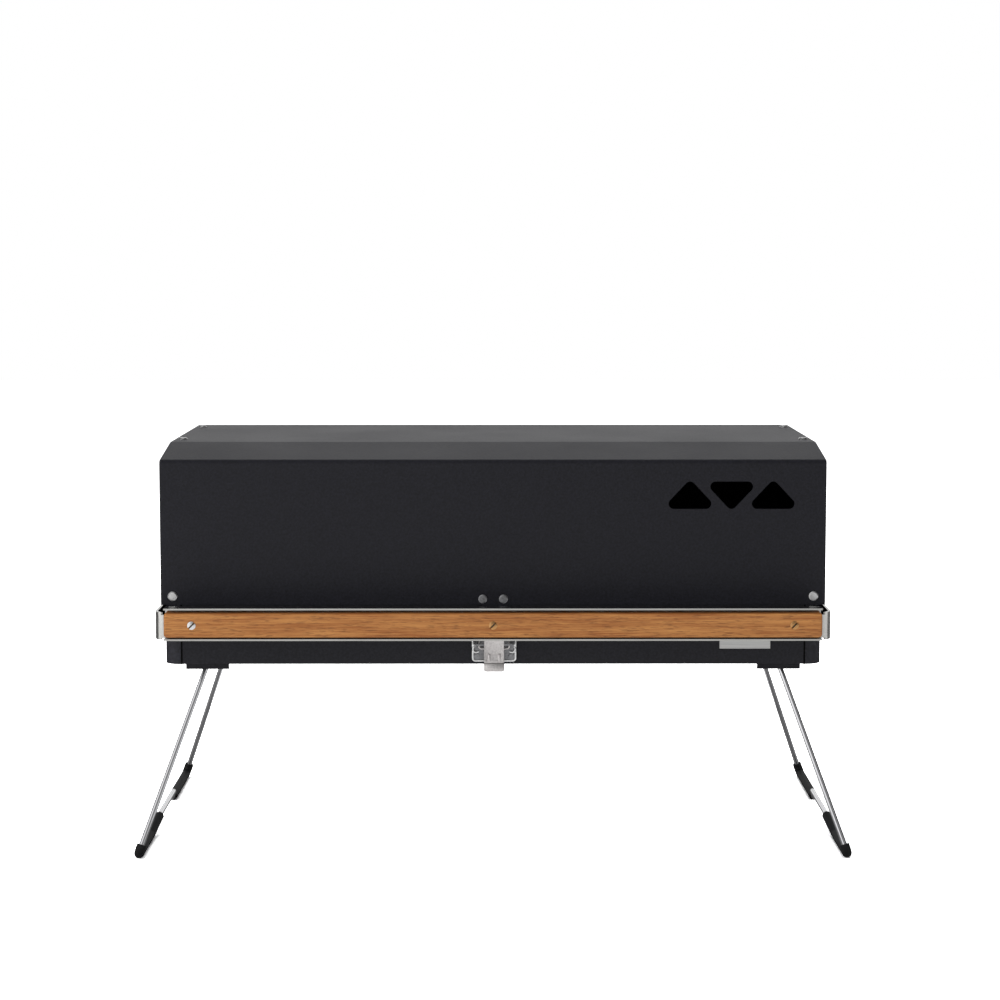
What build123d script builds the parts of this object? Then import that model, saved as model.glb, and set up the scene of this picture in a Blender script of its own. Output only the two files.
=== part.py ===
from build123d import *
from math import atan2, cos, radians, sin, sqrt, tan
import os

# Portable gas grill on its unfolded legs, in millimetres.
# Front is -Y, right is +X, the ground is Z = 0.
# The origin is the middle of the footprint, on the ground.

# Lid and base body
lid_w = 471.0
lid_d = 280.4
lid_side_h = 102.9
bevel_h = 8.3
bevel_d = 57.0
base_h = 43.1
stand_h = 142.7
sheet_t = 1.2
bend_r = 3.0
flange_w = 15.0
base_recess = 3.0
hem_h = 3.3
upstand_h = 7.0
air_slot_count = 9
air_slot_len = 24.0
air_slot_w = 4.0
air_slot_up = 10.0
floor_slot_count = 6
floor_slot_pitch = 34.0
floor_slot_in = 16.0
cap_len = 12.7
cap_inset = 1.7
cap_r = 11.0
cap_t = 2.4
cap_gap = 0.5
tongue_w = 12.0
lug_back = 85.0
lug_w = 18.0
lug_t = 3.0

# Lid vents, three rounded triangles
vent_count = 3
vent_w = 30.1
vent_h = 19.5
vent_r = 3.7
vent_pitch = 29.4
vent_in = 37.65
vent_drop = 24.9

# Hinges
knuckle_r = 3.0
knuckle_gap = 0.3
hinge_pin_r = 1.5
hinge_in = 50.5
hinge_w = 40.0
hinge_drop = 2.0
hinge_leaf_h = 26.0
base_leaf_h = 14.0
base_leaf_drop = 12.0

# Carrying handle
handle_reach = 41.0
strip_reach = 30.0
strip_t = 1.8
strip_h = 19.3
strip_bend_r = 11.5
web_h = 16.4
web_end = 5.0
handle_pivot_front = 68.2
handle_pivot_drop = 10.75
washer_t = 0.7
washer_r = 7.5
pivot_screw_r = 3.0
pivot_head_r = 6.5
pivot_head_t = 2.8
pivot_head_edge = 0.9
pivot_nut_t = 4.5
pivot_nut_w = 9.5
pivot_end = 1.5
channel_in = 8.5
channel_h = 22.6
channel_depth = 10.6
channel_up = 3.0
slat_h = 17.6
slat_drop = 0.5
slat_corner_r = 2.6
slat_edge_r = 1.6
slat_screw_in = 19.4
slat_screw_r = 3.0
screw_shank_r = 1.6
driver_slot_w = 0.9
driver_slot_h = 1.4
driver_slot_turn = 35.0

# Folding wire legs
leg_wire_r = 2.0
leg_wire_gap = 0.15
leg_end_gap = 1.0
leg_top_in = 48.2
leg_foot_in = 6.2
leg_bend_r = 8.0
foot_bend_r = 5.5
ramp_bend_r = 20.0
step_bend_r = 5.0
foot_spread = 19.5
foot_flat = 0.4
bar_rise = 7.0
front_run = 61.0
front_ramp = 35.0
back_run = 87.0
back_step = 9.0
sleeve_r = 3.5
sleeve_up = 1.0
sleeve_end_in = 3.0
bracket_in = 30.0
bracket_half_w = 15.5
bracket_y_in = 22.2
bracket_drop = 6.9
bracket_loop_w = 16.0
bracket_loop_in = 30.0
pivot_off = 0.4
stop_past = 6.0

# Draw latch
latch_x = 0.7
latch_half_w = 15.8
latch_up = 2.1
latch_h = 23.2
latch_corner_r = 2.5
latch_axis_up = 13.2
latch_axis_out = 6.4
ear_x0 = 12.9
ear_r = 2.4
latch_pin_r = 1.0
latch_pin_head_r = 1.9
lever_half_w = 7.05
lever_nose_half_w = 8.2
lever_nose_h = 6.0
lever_nose_r = 1.6
lever_drop = 5.6
lever_top = 4.2
lever_lip = 3.0
bead_x = 3.4
bead_r = 0.8
wing_x0 = 11.7
wing_t = 1.0
wing_up = 6.0
wing_bar_h = 2.4
wing_half_d = 1.6
wing_eye_r = 2.0
tongue_out = 1.8
bail_back = 2.6
bail_drop = 3.5
bail_half_w = 10.7
bail_r = 0.75
bail_bend_r = 1.9
bail_gap = 0.6
bail_hook_up = 3.2
bail_end_in = 2.6
barrel_r = 1.7
keeper_half_w = 9.0
keeper_drop = 12.8
keeper_up = 9.0
keeper_out = 5.4
keeper_lip_h = 3.4
keeper_rivet_x = 7.3
keeper_rivet_up = 4.2

# Burner, valve, ignition and inlet
burner_up = 18.5
burner_r = 6.5
burner_wall = 1.0
burner_bend_r = 50.0
burner_end_gap = 16.0
mixing_len = 41.0
feed_past = 8.0
port_w = 1.6
port_len = 5.0
port_deep = 3.0
port_pitch = 24.0
mouth_len = 40.0
shutter_in = 12.0
shutter_len = 9.0
shutter_w = 4.0
rest_half_w = 11.0
rest_len = 20.0
rest_h = 17.0
valve_r = 8.0
valve_len = 22.0
valve_gap = 14.0
jet_r = 3.2
valve_port_x = 8.0
valve_port_len = 3.0
jet_bore_r = 0.9
jet_deep = 4.0
neck_r = 5.0
neck_out = 3.0
panel_nut_w = 14.0
valve_nut_t = 2.6
stem_r = 3.0
stem_deep = 10.0
knob_r = 15.0
knob_depth = 15.5
knob_gap = 1.5
flute_count = 12
flute_r = 2.2
flute_len = 14.0
knob_edge = 1.6
knob_wall = 3.0
knob_hollow = 4.0
knob_bore = 11.0
mark_w = 1.6
mark_len = 6.0
pipe_r = 3.0
pipe_nut_w = 10.0
pipe_nut_len = 7.0
inlet_back = 52.5
inlet_len = 18.0
inlet_r = 6.6
inlet_bore_r = 3.0
inlet_shank_r = 7.4
inlet_nut_w = 17.0
inlet_nut_t = 4.0
inlet_hex_t = 5.0
inlet_edge = 0.8
elbow_half = 7.5
igniter_front = 35.5
igniter_up = 23.0
igniter_r = 5.5
igniter_gap = 20.0
igniter_nut_t = 3.0
bezel_t = 1.6
bezel_w = 2.2
button_r = 4.2
button_out = 6.0
button_deep = 12.0
button_edge = 0.9
button_travel = 5.0
electrode_r = 2.8
ceramic_in = 26.0
ceramic_out = 9.0
collar_r = 4.6
collar_t = 3.0
spark_gap = 3.0
wire_tip_r = 0.8
lead_r = 2.2

# Firebox ends, grate and drip tray
firebox_in = 49.5
firebox_foot_w = 14.0
shelf_drop = 3.3
grate_lap = 14.0
grate_t = 9.0
grate_gap = 3.0
grate_corner_r = 7.0
grate_frame_w = 12.0
grate_rib_w = 7.0
slot_rows = 3
bar_pitch = 14.0
bar_w = 6.0
tray_in = 36.0
tray_h = 8.0
tray_front = 26.0
tray_t = 1.0
tray_corner_r = 4.0
tray_plate_lap = 5.0
slot_play = 1.5
pull_half_w = 30.0
pull_out = 7.0

# Bare steel plate on the front of the base
front_plate_w = 36.0
front_plate_h = 21.0
front_plate_t = 0.8
front_plate_in = 56.5
front_plate_up = 21.8

# Small gaps and fasteners
running = 0.1
seat = 0.1
side_gap = 0.3
rivet_r = 3.35
rivet_h = 1.1
rivet_shank = 1.6
keeper_rivet_r = 3.1
small_rivet_r = 2.2
shank_gap = 0.05
corner_rivet_in = 8.4
corner_rivet_up = 6.2
top_rivet_side = 6.4
top_rivet_in = 81.7
cap_rivet_in = 10.0
bracket_rivet_in = 5.5
bracket_rivet_back = 60.0
latch_rivet_in = 3.5
over = 1.0

# Places worked out from the sizes
lid_half_w = lid_w / 2
cap_half_w = lid_half_w - cap_inset
pan_half_w = cap_half_w - cap_len
cap_face_x = cap_half_w
cap_inner_x = cap_half_w - cap_t
strip_half_w = cap_half_w + washer_t + strip_t + 2 * running
channel_half_w = strip_half_w - channel_in
firebox_x = lid_half_w - firebox_in
hinge_x = lid_half_w - hinge_in
bracket_x = lid_half_w - bracket_in
foot_x = lid_half_w + foot_spread
hem_z = stand_h
split_z = hem_z + base_h
floor_z = hem_z + hem_h
overall_d = handle_reach + lid_d + 2 * knuckle_r
lid_front_y = handle_reach - overall_d / 2
lid_back_y = lid_front_y + lid_d
lid_bend_z = split_z + lid_side_h
lid_top_z = lid_bend_z + bevel_h
base_front_y = lid_front_y + base_recess
base_back_y = lid_back_y - base_recess
base_mid_y = (base_front_y + base_back_y) / 2
base_d = base_back_y - base_front_y
rim_z = split_z + upstand_h
pan_top_z = floor_z + sheet_t
hinge_y = lid_back_y + knuckle_r
hinge_z = split_z - hinge_drop
handle_pivot_y = base_mid_y - handle_pivot_front
handle_pivot_z = split_z - handle_pivot_drop
channel_z = handle_pivot_z + channel_up
latch_z0 = hem_z + latch_up
latch_z1 = latch_z0 + latch_h
latch_axis_y = base_front_y - latch_axis_out
latch_axis_z = latch_z0 + latch_axis_up
lever_z0 = latch_z0 - lever_drop
burner_z = floor_z + burner_up
igniter_y = base_mid_y - igniter_front
igniter_z = floor_z + igniter_up
inlet_y = base_mid_y + inlet_back
shelf_z = split_z - shelf_drop
leg_pivot_x = bracket_x + pivot_off
leg_pivot_z = floor_z - sheet_t - leg_wire_r - leg_wire_gap
foot_z = sleeve_r - foot_flat
lean = atan2(foot_x - leg_pivot_x, leg_pivot_z - foot_z)
leg_length = (leg_pivot_z - foot_z) / cos(lean)

nodes = {}


def block(x0, x1, y0, y1, z0, z1):
    middle = Pos((x0 + x1) / 2, (y0 + y1) / 2, (z0 + z1) / 2)
    return middle * Box(x1 - x0, y1 - y0, z1 - z0)


def rod(start, end, radius):
    run = Vector(*end) - Vector(*start)
    plane = Plane(origin=start, z_dir=run)
    return plane * Cylinder(radius, run.length, align=(Align.CENTER, Align.CENTER, Align.MIN))


def hexagon(start, end, flats):
    run = Vector(*end) - Vector(*start)
    plane = Plane(origin=start, z_dir=run)
    return plane * extrude(RegularPolygon(flats / 2, 6, major_radius=False), run.length)


def along_x(face, x0, x1):
    return Pos(x0, 0, 0) * extrude(face, x1 - x0)


def yz_face(*points):
    return Plane.YZ * make_face(Polyline(*points, close=True))


def other_side(shape):
    return mirror(shape, about=Plane.YZ)


def group(shapes):
    return Compound(children=[solid for shape in shapes for solid in shape.solids()])


def rivet(point, outward, grip, head_r=rivet_r):
    head = Cylinder(head_r, rivet_h, align=(Align.CENTER, Align.CENTER, Align.MIN))
    if head_r > small_rivet_r:
        head = chamfer(head.edges().sort_by(Axis.Z)[-1], rivet_h * 0.6)
    shank_r = min(rivet_shank, head_r / 2)
    shank = Cylinder(shank_r, grip, align=(Align.CENTER, Align.CENTER, Align.MAX))
    return Plane(origin=point, z_dir=outward) * (head + shank)


def rivet_hole(point, outward, grip, head_r=rivet_r):
    shank_r = min(rivet_shank, head_r / 2) + shank_gap
    hole = Cylinder(shank_r, 2 * grip + 2 * over)
    return Plane(origin=point, z_dir=outward) * hole


# Lid: a folded sheet between two flanged end plates
def lid_outline(inset):
    pitch = atan2(bevel_h, bevel_d)
    side_z = lid_bend_z - inset * cos(pitch) + inset * (1 - sin(pitch)) * tan(pitch)
    along = (bevel_h - inset + inset * cos(pitch)) / sin(pitch)
    top_in = inset * sin(pitch) + along * cos(pitch)
    face = make_face(Polyline(
        (lid_front_y + inset, split_z),
        (lid_front_y + inset, side_z),
        (lid_front_y + top_in, lid_top_z - inset),
        (lid_back_y - top_in, lid_top_z - inset),
        (lid_back_y - inset, side_z),
        (lid_back_y - inset, split_z),
        close=True,
    ))
    bends = [v for v in face.vertices() if v.Y > split_z + over]
    return Plane.YZ * fillet(bends, bend_r - inset)


def vent(points_up):
    tip = vent_h / 2 - vent_r
    foot = vent_w / 2 - vent_r
    middle = make_face(Polyline((-foot, -tip), (foot, -tip), (0, tip), close=True))
    outline = offset(middle, vent_r)
    return outline if points_up else Rot(0, 0, 180) * outline


corner_rivet_x = lid_half_w - corner_rivet_in
top_rivet_x = lid_half_w - top_rivet_side
corner_rivet_z = split_z + corner_rivet_up
keeper_rivet_z = split_z + keeper_rivet_up
front = (0, -1, 0)
back = (0, 1, 0)
up = (0, 0, 1)
down = (0, 0, -1)

lid_rivet_places = []
for side in (-1, 1):
    lid_rivet_places.append(((side * corner_rivet_x, lid_front_y, corner_rivet_z), front))
    lid_rivet_places.append(((side * corner_rivet_x, lid_back_y, corner_rivet_z), back))
    for y in (lid_front_y + top_rivet_in, lid_back_y - top_rivet_in):
        lid_rivet_places.append(((side * top_rivet_x, y, lid_top_z), up))

keeper_rivet_places = []
for side in (-1, 1):
    place = (side * keeper_rivet_x, lid_front_y, keeper_rivet_z)
    keeper_rivet_places.append((place, front))

hinge_rivet_xs = [hinge_x + step * hinge_w * 0.3 for step in (-1, 1)]
hinge_lid_rivet_z = hinge_z + hinge_leaf_h - base_leaf_h / 2
hinge_base_rivet_z = hinge_z - base_leaf_drop - base_leaf_h / 2

shell_half_w = lid_half_w - sheet_t
lid_sheet = lid_outline(0) - lid_outline(sheet_t)
lid_shell = along_x(lid_sheet, -shell_half_w, shell_half_w)
vent_z = lid_bend_z - vent_drop
for index in range(vent_count):
    vent_x = lid_half_w - vent_in - index * vent_pitch
    outline = Pos(vent_x, vent_z) * vent(index % 2 == 0)
    cutter = extrude(Plane.XZ * outline, 3 * sheet_t, both=True)
    lid_shell -= Pos(0, lid_front_y, 0) * cutter
for place, outward in lid_rivet_places:
    lid_shell -= rivet_hole(place, outward, 2 * sheet_t)
for place, outward in keeper_rivet_places:
    lid_shell -= rivet_hole(place, outward, 2 * sheet_t, keeper_rivet_r)
for side in (-1, 1):
    for x in hinge_rivet_xs:
        place = (side * x, lid_back_y, hinge_lid_rivet_z)
        lid_shell -= rivet_hole(place, back, 2 * sheet_t, small_rivet_r)
nodes["lid_shell"] = lid_shell

flange_ring = lid_outline(sheet_t) - lid_outline(2 * sheet_t)
lid_end = along_x(lid_outline(0), shell_half_w, lid_half_w)
rim_edges = lid_end.faces().sort_by(Axis.X)[-1].edges()
rim_edges = [e for e in rim_edges if e.center().Z > split_z + over]
lid_end = fillet(rim_edges, sheet_t * 0.7)
lid_end += along_x(flange_ring, shell_half_w - flange_w, shell_half_w)
for place, outward in lid_rivet_places:
    lid_end -= rivet_hole(place, outward, 2 * sheet_t)
nodes["lid_end_right"] = lid_end
nodes["lid_end_left"] = other_side(lid_end)

nodes["lid_rivets"] = group([rivet(p, d, 2 * sheet_t) for p, d in lid_rivet_places])
nodes["keeper_rivets"] = group(
    [rivet(p, d, 2 * sheet_t, keeper_rivet_r) for p, d in keeper_rivet_places])

# Keeper: a hooked strip inside the lid's front wall, for the latch's bail
keeper_z0 = split_z - keeper_drop
keeper_z1 = split_z + keeper_up
keeper_y = lid_front_y + sheet_t
lip_y = keeper_y + sheet_t - keeper_out
keeper = block(-keeper_half_w, keeper_half_w, keeper_y, keeper_y + sheet_t, keeper_z0, keeper_z1)
ledge = block(-keeper_half_w, keeper_half_w, lip_y, keeper_y + sheet_t, keeper_z0, keeper_z0 + sheet_t)
lip = block(-keeper_half_w, keeper_half_w, lip_y, lip_y + sheet_t, keeper_z0, keeper_z0 + keeper_lip_h)
keeper = Pos(latch_x, 0, 0) * (keeper + ledge + lip)
for place, outward in keeper_rivet_places:
    keeper -= rivet_hole(place, outward, 2 * sheet_t, keeper_rivet_r)
nodes["lid_keeper"] = keeper

# Base: a folded pan with hemmed lower edges
wall_in = base_front_y + sheet_t
wall_out = base_back_y - sheet_t
pan_profile = make_face(Polyline(
    (base_front_y, hem_z),
    (base_front_y, rim_z),
    (wall_in, rim_z),
    (wall_in, pan_top_z),
    (wall_out, pan_top_z),
    (wall_out, rim_z),
    (base_back_y, rim_z),
    (base_back_y, hem_z),
    (base_back_y - 2 * sheet_t, hem_z),
    (base_back_y - 2 * sheet_t, floor_z),
    (base_front_y + 2 * sheet_t, floor_z),
    (base_front_y + 2 * sheet_t, hem_z),
    close=True,
))
outer_bends = [v for v in pan_profile.vertices() if v.Y < hem_z + sheet_t
               and (v.X < base_front_y + sheet_t or v.X > base_back_y - sheet_t)]
pan_profile = fillet(outer_bends, sheet_t * 0.9)
base_pan = along_x(Plane.YZ * pan_profile, -pan_half_w, pan_half_w)

tray_z0 = pan_top_z + side_gap
tray_half_w = firebox_x - tray_in
slot_z1 = tray_z0 + tray_h + slot_play
slot_half_w = tray_half_w + slot_play
base_pan -= block(-slot_half_w, slot_half_w, base_back_y - 2 * sheet_t - over, base_back_y + over,
                  pan_top_z, slot_z1)
air_slot_z = slot_z1 + air_slot_up
air_slot_pitch = 2 * tray_half_w / air_slot_count
for index in range(air_slot_count):
    x = (index - (air_slot_count - 1) / 2) * air_slot_pitch
    slot = Plane.XZ * Pos(x, air_slot_z) * Rectangle(air_slot_len, air_slot_w)
    base_pan -= Pos(0, base_back_y, 0) * extrude(slot, 2 * sheet_t, both=True)
for side in (-1, 1):
    for index in range(floor_slot_count):
        y = base_mid_y + (index - (floor_slot_count - 1) / 2) * floor_slot_pitch
        slot = Pos(side * (firebox_x - floor_slot_in), y) * Rectangle(air_slot_w, air_slot_len)
        base_pan -= Pos(0, 0, floor_z) * extrude(slot, 2 * sheet_t, both=True)
for side in (-1, 1):
    for x in hinge_rivet_xs:
        place = (side * x, base_back_y, hinge_base_rivet_z)
        base_pan -= rivet_hole(place, back, 2 * sheet_t, small_rivet_r)

cap_rivet_x = pan_half_w - tongue_w / 2
cap_rivet_places = []
for side in (-1, 1):
    for y in (base_front_y + cap_rivet_in, base_back_y - cap_rivet_in):
        cap_rivet_places.append(((side * cap_rivet_x, y, floor_z), down))
bracket_rivet_places = []
bracket_rivet_x = bracket_x - bracket_half_w + bracket_rivet_in
for side in (-1, 1):
    for y in (base_mid_y - bracket_rivet_back, base_mid_y + bracket_rivet_back):
        place = (side * bracket_rivet_x, y, floor_z - sheet_t)
        bracket_rivet_places.append((place, down))
latch_rivet_places = []
for side in (-1, 1):
    for z in (latch_z0 + latch_rivet_in, latch_z1 - latch_rivet_in):
        place = (latch_x + side * (latch_half_w - latch_rivet_in), base_front_y - sheet_t, z)
        latch_rivet_places.append((place, front))
for place, outward in cap_rivet_places + bracket_rivet_places + latch_rivet_places:
    base_pan -= rivet_hole(place, outward, 3 * sheet_t, small_rivet_r)
nodes["base_pan"] = base_pan


# End caps: cast ends with rounded corners, tongued into the pan
def base_plan(inset):
    return RectangleRounded(2 * (cap_half_w - inset), base_d - 2 * inset, cap_r - inset)


def cap_block(x0, z0, z1):
    return block(x0, cap_half_w + over, base_front_y - over, base_back_y + over, z0, z1)


cap_x0 = pan_half_w + cap_gap
cap_walls = Pos(0, base_mid_y, hem_z) * extrude(base_plan(0) - base_plan(cap_t), rim_z - hem_z)
cap_walls = cap_walls & cap_block(cap_x0, hem_z - over, rim_z + over)
cap_floor = Pos(0, base_mid_y, pan_top_z) * extrude(base_plan(sheet_t), sheet_t)
cap_floor = cap_floor & cap_block(pan_half_w - tongue_w, pan_top_z - over, rim_z)
tongue_x = cap_x0 + cap_t
front_tongue = block(pan_half_w - tongue_w, tongue_x, wall_in, wall_in + sheet_t, pan_top_z, rim_z)
back_tongue = block(pan_half_w - tongue_w, tongue_x, wall_out - sheet_t, wall_out, pan_top_z, rim_z)
base_end = cap_walls + cap_floor + front_tongue + back_tongue
hem_back_y = base_front_y + 2 * sheet_t
hem_tongue = block(pan_half_w - tongue_w, tongue_x, hem_back_y, hem_back_y + sheet_t,
                   hem_z + side_gap, floor_z)
hem_tongue += block(cap_x0, tongue_x, wall_in, hem_back_y + sheet_t, hem_z + side_gap, floor_z)
base_end += hem_tongue + mirror(hem_tongue, about=Plane.XZ.offset(-base_mid_y))
lug_y = base_mid_y + lug_back
lug_z = split_z - side_gap
base_end += block(cap_half_w - over, lid_half_w - side_gap, lug_y, lug_y + lug_w, lug_z - lug_t, lug_z)
pivot_hole = rod((cap_half_w - 2 * cap_t, handle_pivot_y, handle_pivot_z),
                 (cap_half_w + over, handle_pivot_y, handle_pivot_z), pivot_screw_r + shank_gap)
base_end -= pivot_hole
for place, outward in cap_rivet_places:
    base_end -= rivet_hole(place, outward, 3 * sheet_t, small_rivet_r)

base_end_left = other_side(base_end)
for y, z, radius in (
    (base_mid_y, burner_z, neck_r),
    (igniter_y, igniter_z, igniter_r),
    (inlet_y, burner_z, inlet_shank_r),
):
    base_end -= rod((cap_inner_x - over, y, z), (cap_face_x + over, y, z), radius + shank_gap)
nodes["base_end_right"] = base_end
nodes["base_end_left"] = base_end_left
nodes["base_rivets"] = group([rivet(p, d, 3 * sheet_t, small_rivet_r) for p, d in cap_rivet_places])

# Firebox ends: angle plates that close the fire off and carry the grate
firebox_y0 = wall_in + sheet_t + side_gap
firebox_y1 = wall_out - sheet_t - side_gap
shelf = Pos(0, base_mid_y, shelf_z - sheet_t) * extrude(base_plan(cap_t + side_gap), sheet_t)
shelf = shelf & block(firebox_x, cap_half_w, firebox_y0, firebox_y1, 0, lid_top_z)
firebox_wall = block(firebox_x, firebox_x + sheet_t, firebox_y0, firebox_y1, pan_top_z, shelf_z)
firebox_foot = block(firebox_x, firebox_x + firebox_foot_w, firebox_y0, firebox_y1, pan_top_z,
                     pan_top_z + sheet_t)
firebox_end = shelf + firebox_wall + firebox_foot
firebox_left = other_side(firebox_end)
feed_hole_r = burner_r + side_gap + running
firebox_end -= rod((firebox_x - over, base_mid_y, burner_z),
                   (firebox_x + sheet_t + over, base_mid_y, burner_z), feed_hole_r)
firebox_end -= rod((firebox_x - over, igniter_y, igniter_z),
                   (firebox_x + sheet_t + over, igniter_y, igniter_z), electrode_r + shank_gap)
nodes["firebox_end_right"] = firebox_end
nodes["firebox_end_left"] = firebox_left

# Grate: one cast plate with tapered slots between the bars
grate_half_w = firebox_x + grate_lap
grate_y0 = wall_in + grate_gap
grate_y1 = wall_out - grate_gap
grate_z0 = shelf_z + seat
grate_mid_y = (grate_y0 + grate_y1) / 2
grate_d = grate_y1 - grate_y0
grate = Pos(0, grate_mid_y, grate_z0) * extrude(
    RectangleRounded(2 * grate_half_w, grate_d, grate_corner_r), grate_t)
slot_len = (grate_d - 2 * grate_frame_w - (slot_rows - 1) * grate_rib_w) / slot_rows
slot_count = int((2 * grate_half_w - 2 * grate_frame_w - bar_pitch) / bar_pitch)
slots = []
for column in range(slot_count):
    x = (column - (slot_count - 1) / 2) * bar_pitch
    for row in range(slot_rows):
        y = grate_mid_y + (row - (slot_rows - 1) / 2) * (slot_len + grate_rib_w)
        slots.append(Pos(x, y) * Rectangle(bar_pitch - bar_w, slot_len))
slot_tool = extrude(Pos(0, 0, grate_z0 + grate_t) * Sketch(children=slots), -grate_t, taper=4)
nodes["grate"] = grate - slot_tool

# Drip tray: slides out at the back, its rear plate covers the slot
tray_y0 = base_front_y + tray_front
tray_y1 = base_back_y + side_gap
tray_d = tray_y1 - tray_y0
tray_mid_y = (tray_y0 + tray_y1) / 2
tray_outer = RectangleRounded(2 * tray_half_w, tray_d, tray_corner_r)
tray_inner = RectangleRounded(2 * (tray_half_w - tray_t), tray_d - 2 * tray_t, tray_corner_r - tray_t)
tray = Pos(0, tray_mid_y, tray_z0) * extrude(tray_outer, tray_h)
tray -= Pos(0, tray_mid_y, tray_z0 + tray_t) * extrude(tray_inner, tray_h)
plate_half_w = slot_half_w + tray_plate_lap
plate_z0 = hem_z + over
plate_z1 = slot_z1 + tray_plate_lap - 2 * over
tray += block(-plate_half_w, plate_half_w, tray_y1, tray_y1 + sheet_t, plate_z0, plate_z1)
pull_z = plate_z1 - sheet_t
pull_y = tray_y1 + pull_out
tray += block(-pull_half_w, pull_half_w, tray_y1, pull_y, pull_z, plate_z1)
tray += block(-pull_half_w, pull_half_w, pull_y - sheet_t, pull_y, pull_z - 3 * over, plate_z1)
nodes["drip_tray"] = tray


# Burner: an oval loop of tube with slotted ports, fed by a mixing tube at its right end
burner_left_x = burner_end_gap + burner_bend_r - firebox_x
burner_right_x = firebox_x - mixing_len - burner_bend_r


def burner_body(radius, feed_x):
    run = burner_right_x - burner_left_x
    shape = None
    for side in (-1, 1):
        y = base_mid_y + side * burner_bend_r
        tube = rod((burner_left_x, y, burner_z), (burner_right_x, y, burner_z), radius)
        shape = tube if shape is None else shape + tube
    circle = Plane.XZ * Pos(burner_bend_r, 0) * Circle(radius)
    for x, start in ((burner_left_x, 90), (burner_right_x, -90)):
        bend = revolve(circle, Axis.Z, 180)
        shape += Pos(x, base_mid_y, burner_z) * Rot(0, 0, start) * bend
    feed_start = burner_right_x + burner_bend_r
    shape += rod((feed_start, base_mid_y, burner_z), (feed_x, base_mid_y, burner_z), radius)
    return shape


feed_end_x = firebox_x + feed_past
burner = burner_body(burner_r, feed_end_x)
burner -= rod((feed_end_x - mouth_len, base_mid_y, burner_z), (feed_end_x + over, base_mid_y, burner_z),
              burner_r - burner_wall)
port = Pos(0, 0, burner_z + burner_r) * Box(port_w, port_len, port_deep)
port_count = int((burner_right_x - burner_left_x) / port_pitch)
for side in (-1, 1):
    for index in range(port_count + 1):
        x = (burner_left_x + burner_right_x) / 2 + (index - port_count / 2) * port_pitch
        burner -= Pos(x, base_mid_y + side * burner_bend_r, 0) * port
shutter = Pos(firebox_x - shutter_in, base_mid_y, burner_z) * Box(shutter_len, 4 * burner_r, shutter_w)
burner -= shutter
nodes["burner"] = burner

rest_z = burner_z - burner_r - seat
rest = block(-firebox_x, -firebox_x + rest_len, base_mid_y - rest_half_w, base_mid_y + rest_half_w,
             rest_z - sheet_t, rest_z)
rest += block(-firebox_x, -firebox_x + sheet_t, base_mid_y - rest_half_w, base_mid_y + rest_half_w,
              rest_z - sheet_t, rest_z + rest_h)
nodes["burner_rest"] = rest

# Gas valve, stem, knob and pipe, on the line of the mixing tube
valve_x0 = firebox_x + valve_gap
valve_x1 = valve_x0 + valve_len
valve_y = base_mid_y
jet_x = feed_end_x - pipe_r
valve = rod((valve_x0, valve_y, burner_z), (valve_x1, valve_y, burner_z), valve_r)
valve += rod((valve_x1, valve_y, burner_z), (cap_face_x + neck_out, valve_y, burner_z), neck_r)
valve += rod((jet_x, valve_y, burner_z), (valve_x0, valve_y, burner_z), jet_r)
pipe_x = valve_x0 + valve_port_x
valve_port_y = valve_y + valve_r + valve_port_len
valve += rod((pipe_x, valve_y, burner_z), (pipe_x, valve_port_y, burner_z), neck_r)
stem_start = valve_x0 + stem_deep
valve -= rod((stem_start, valve_y, burner_z), (cap_face_x + neck_out + over, valve_y, burner_z),
             stem_r + running)
valve -= rod((jet_x - over, valve_y, burner_z), (valve_x0 + jet_deep, valve_y, burner_z), jet_bore_r)
nodes["gas_valve"] = valve

nut_x = cap_face_x + valve_nut_t
valve_nut = hexagon((cap_face_x, valve_y, burner_z), (nut_x, valve_y, burner_z), panel_nut_w)
valve_nut -= rod((cap_face_x - over, valve_y, burner_z), (nut_x + over, valve_y, burner_z),
                 neck_r + shank_gap)
nodes["valve_nut"] = valve_nut

knob_x0 = cap_face_x + knob_gap
knob_x1 = knob_x0 + knob_depth
knob = Pos(knob_x0, 0, 0) * extrude(Plane.YZ * Circle(knob_r), knob_depth)
knob = chamfer(knob.edges().sort_by(Axis.X)[-1], knob_edge)
for index in range(flute_count):
    turn = index * 360 / flute_count
    flute_x = knob_x1 - flute_len / 2 + over
    flute = Pos(flute_x, knob_r + flute_r / 2, 0) * Rot(0, 90, 0) * Cylinder(flute_r, flute_len)
    knob -= Rot(turn, 0, 0) * flute
knob -= Pos(knob_x0 - over, 0, 0) * extrude(Plane.YZ * Circle(knob_r - knob_wall), over + knob_hollow)
knob -= Pos(knob_x0 - over, 0, 0) * extrude(Plane.YZ * Circle(stem_r + shank_gap), over + knob_bore)
knob -= Pos(knob_x1, 0, knob_r - 0.6 * mark_len) * Box(mark_w, mark_w, mark_len)
nodes["control_knob"] = Pos(0, valve_y, burner_z) * knob
stem_x1 = knob_x0 + knob_bore - 2 * seat
nodes["valve_stem"] = rod((stem_start + seat, valve_y, burner_z), (stem_x1, valve_y, burner_z), stem_r)

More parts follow.
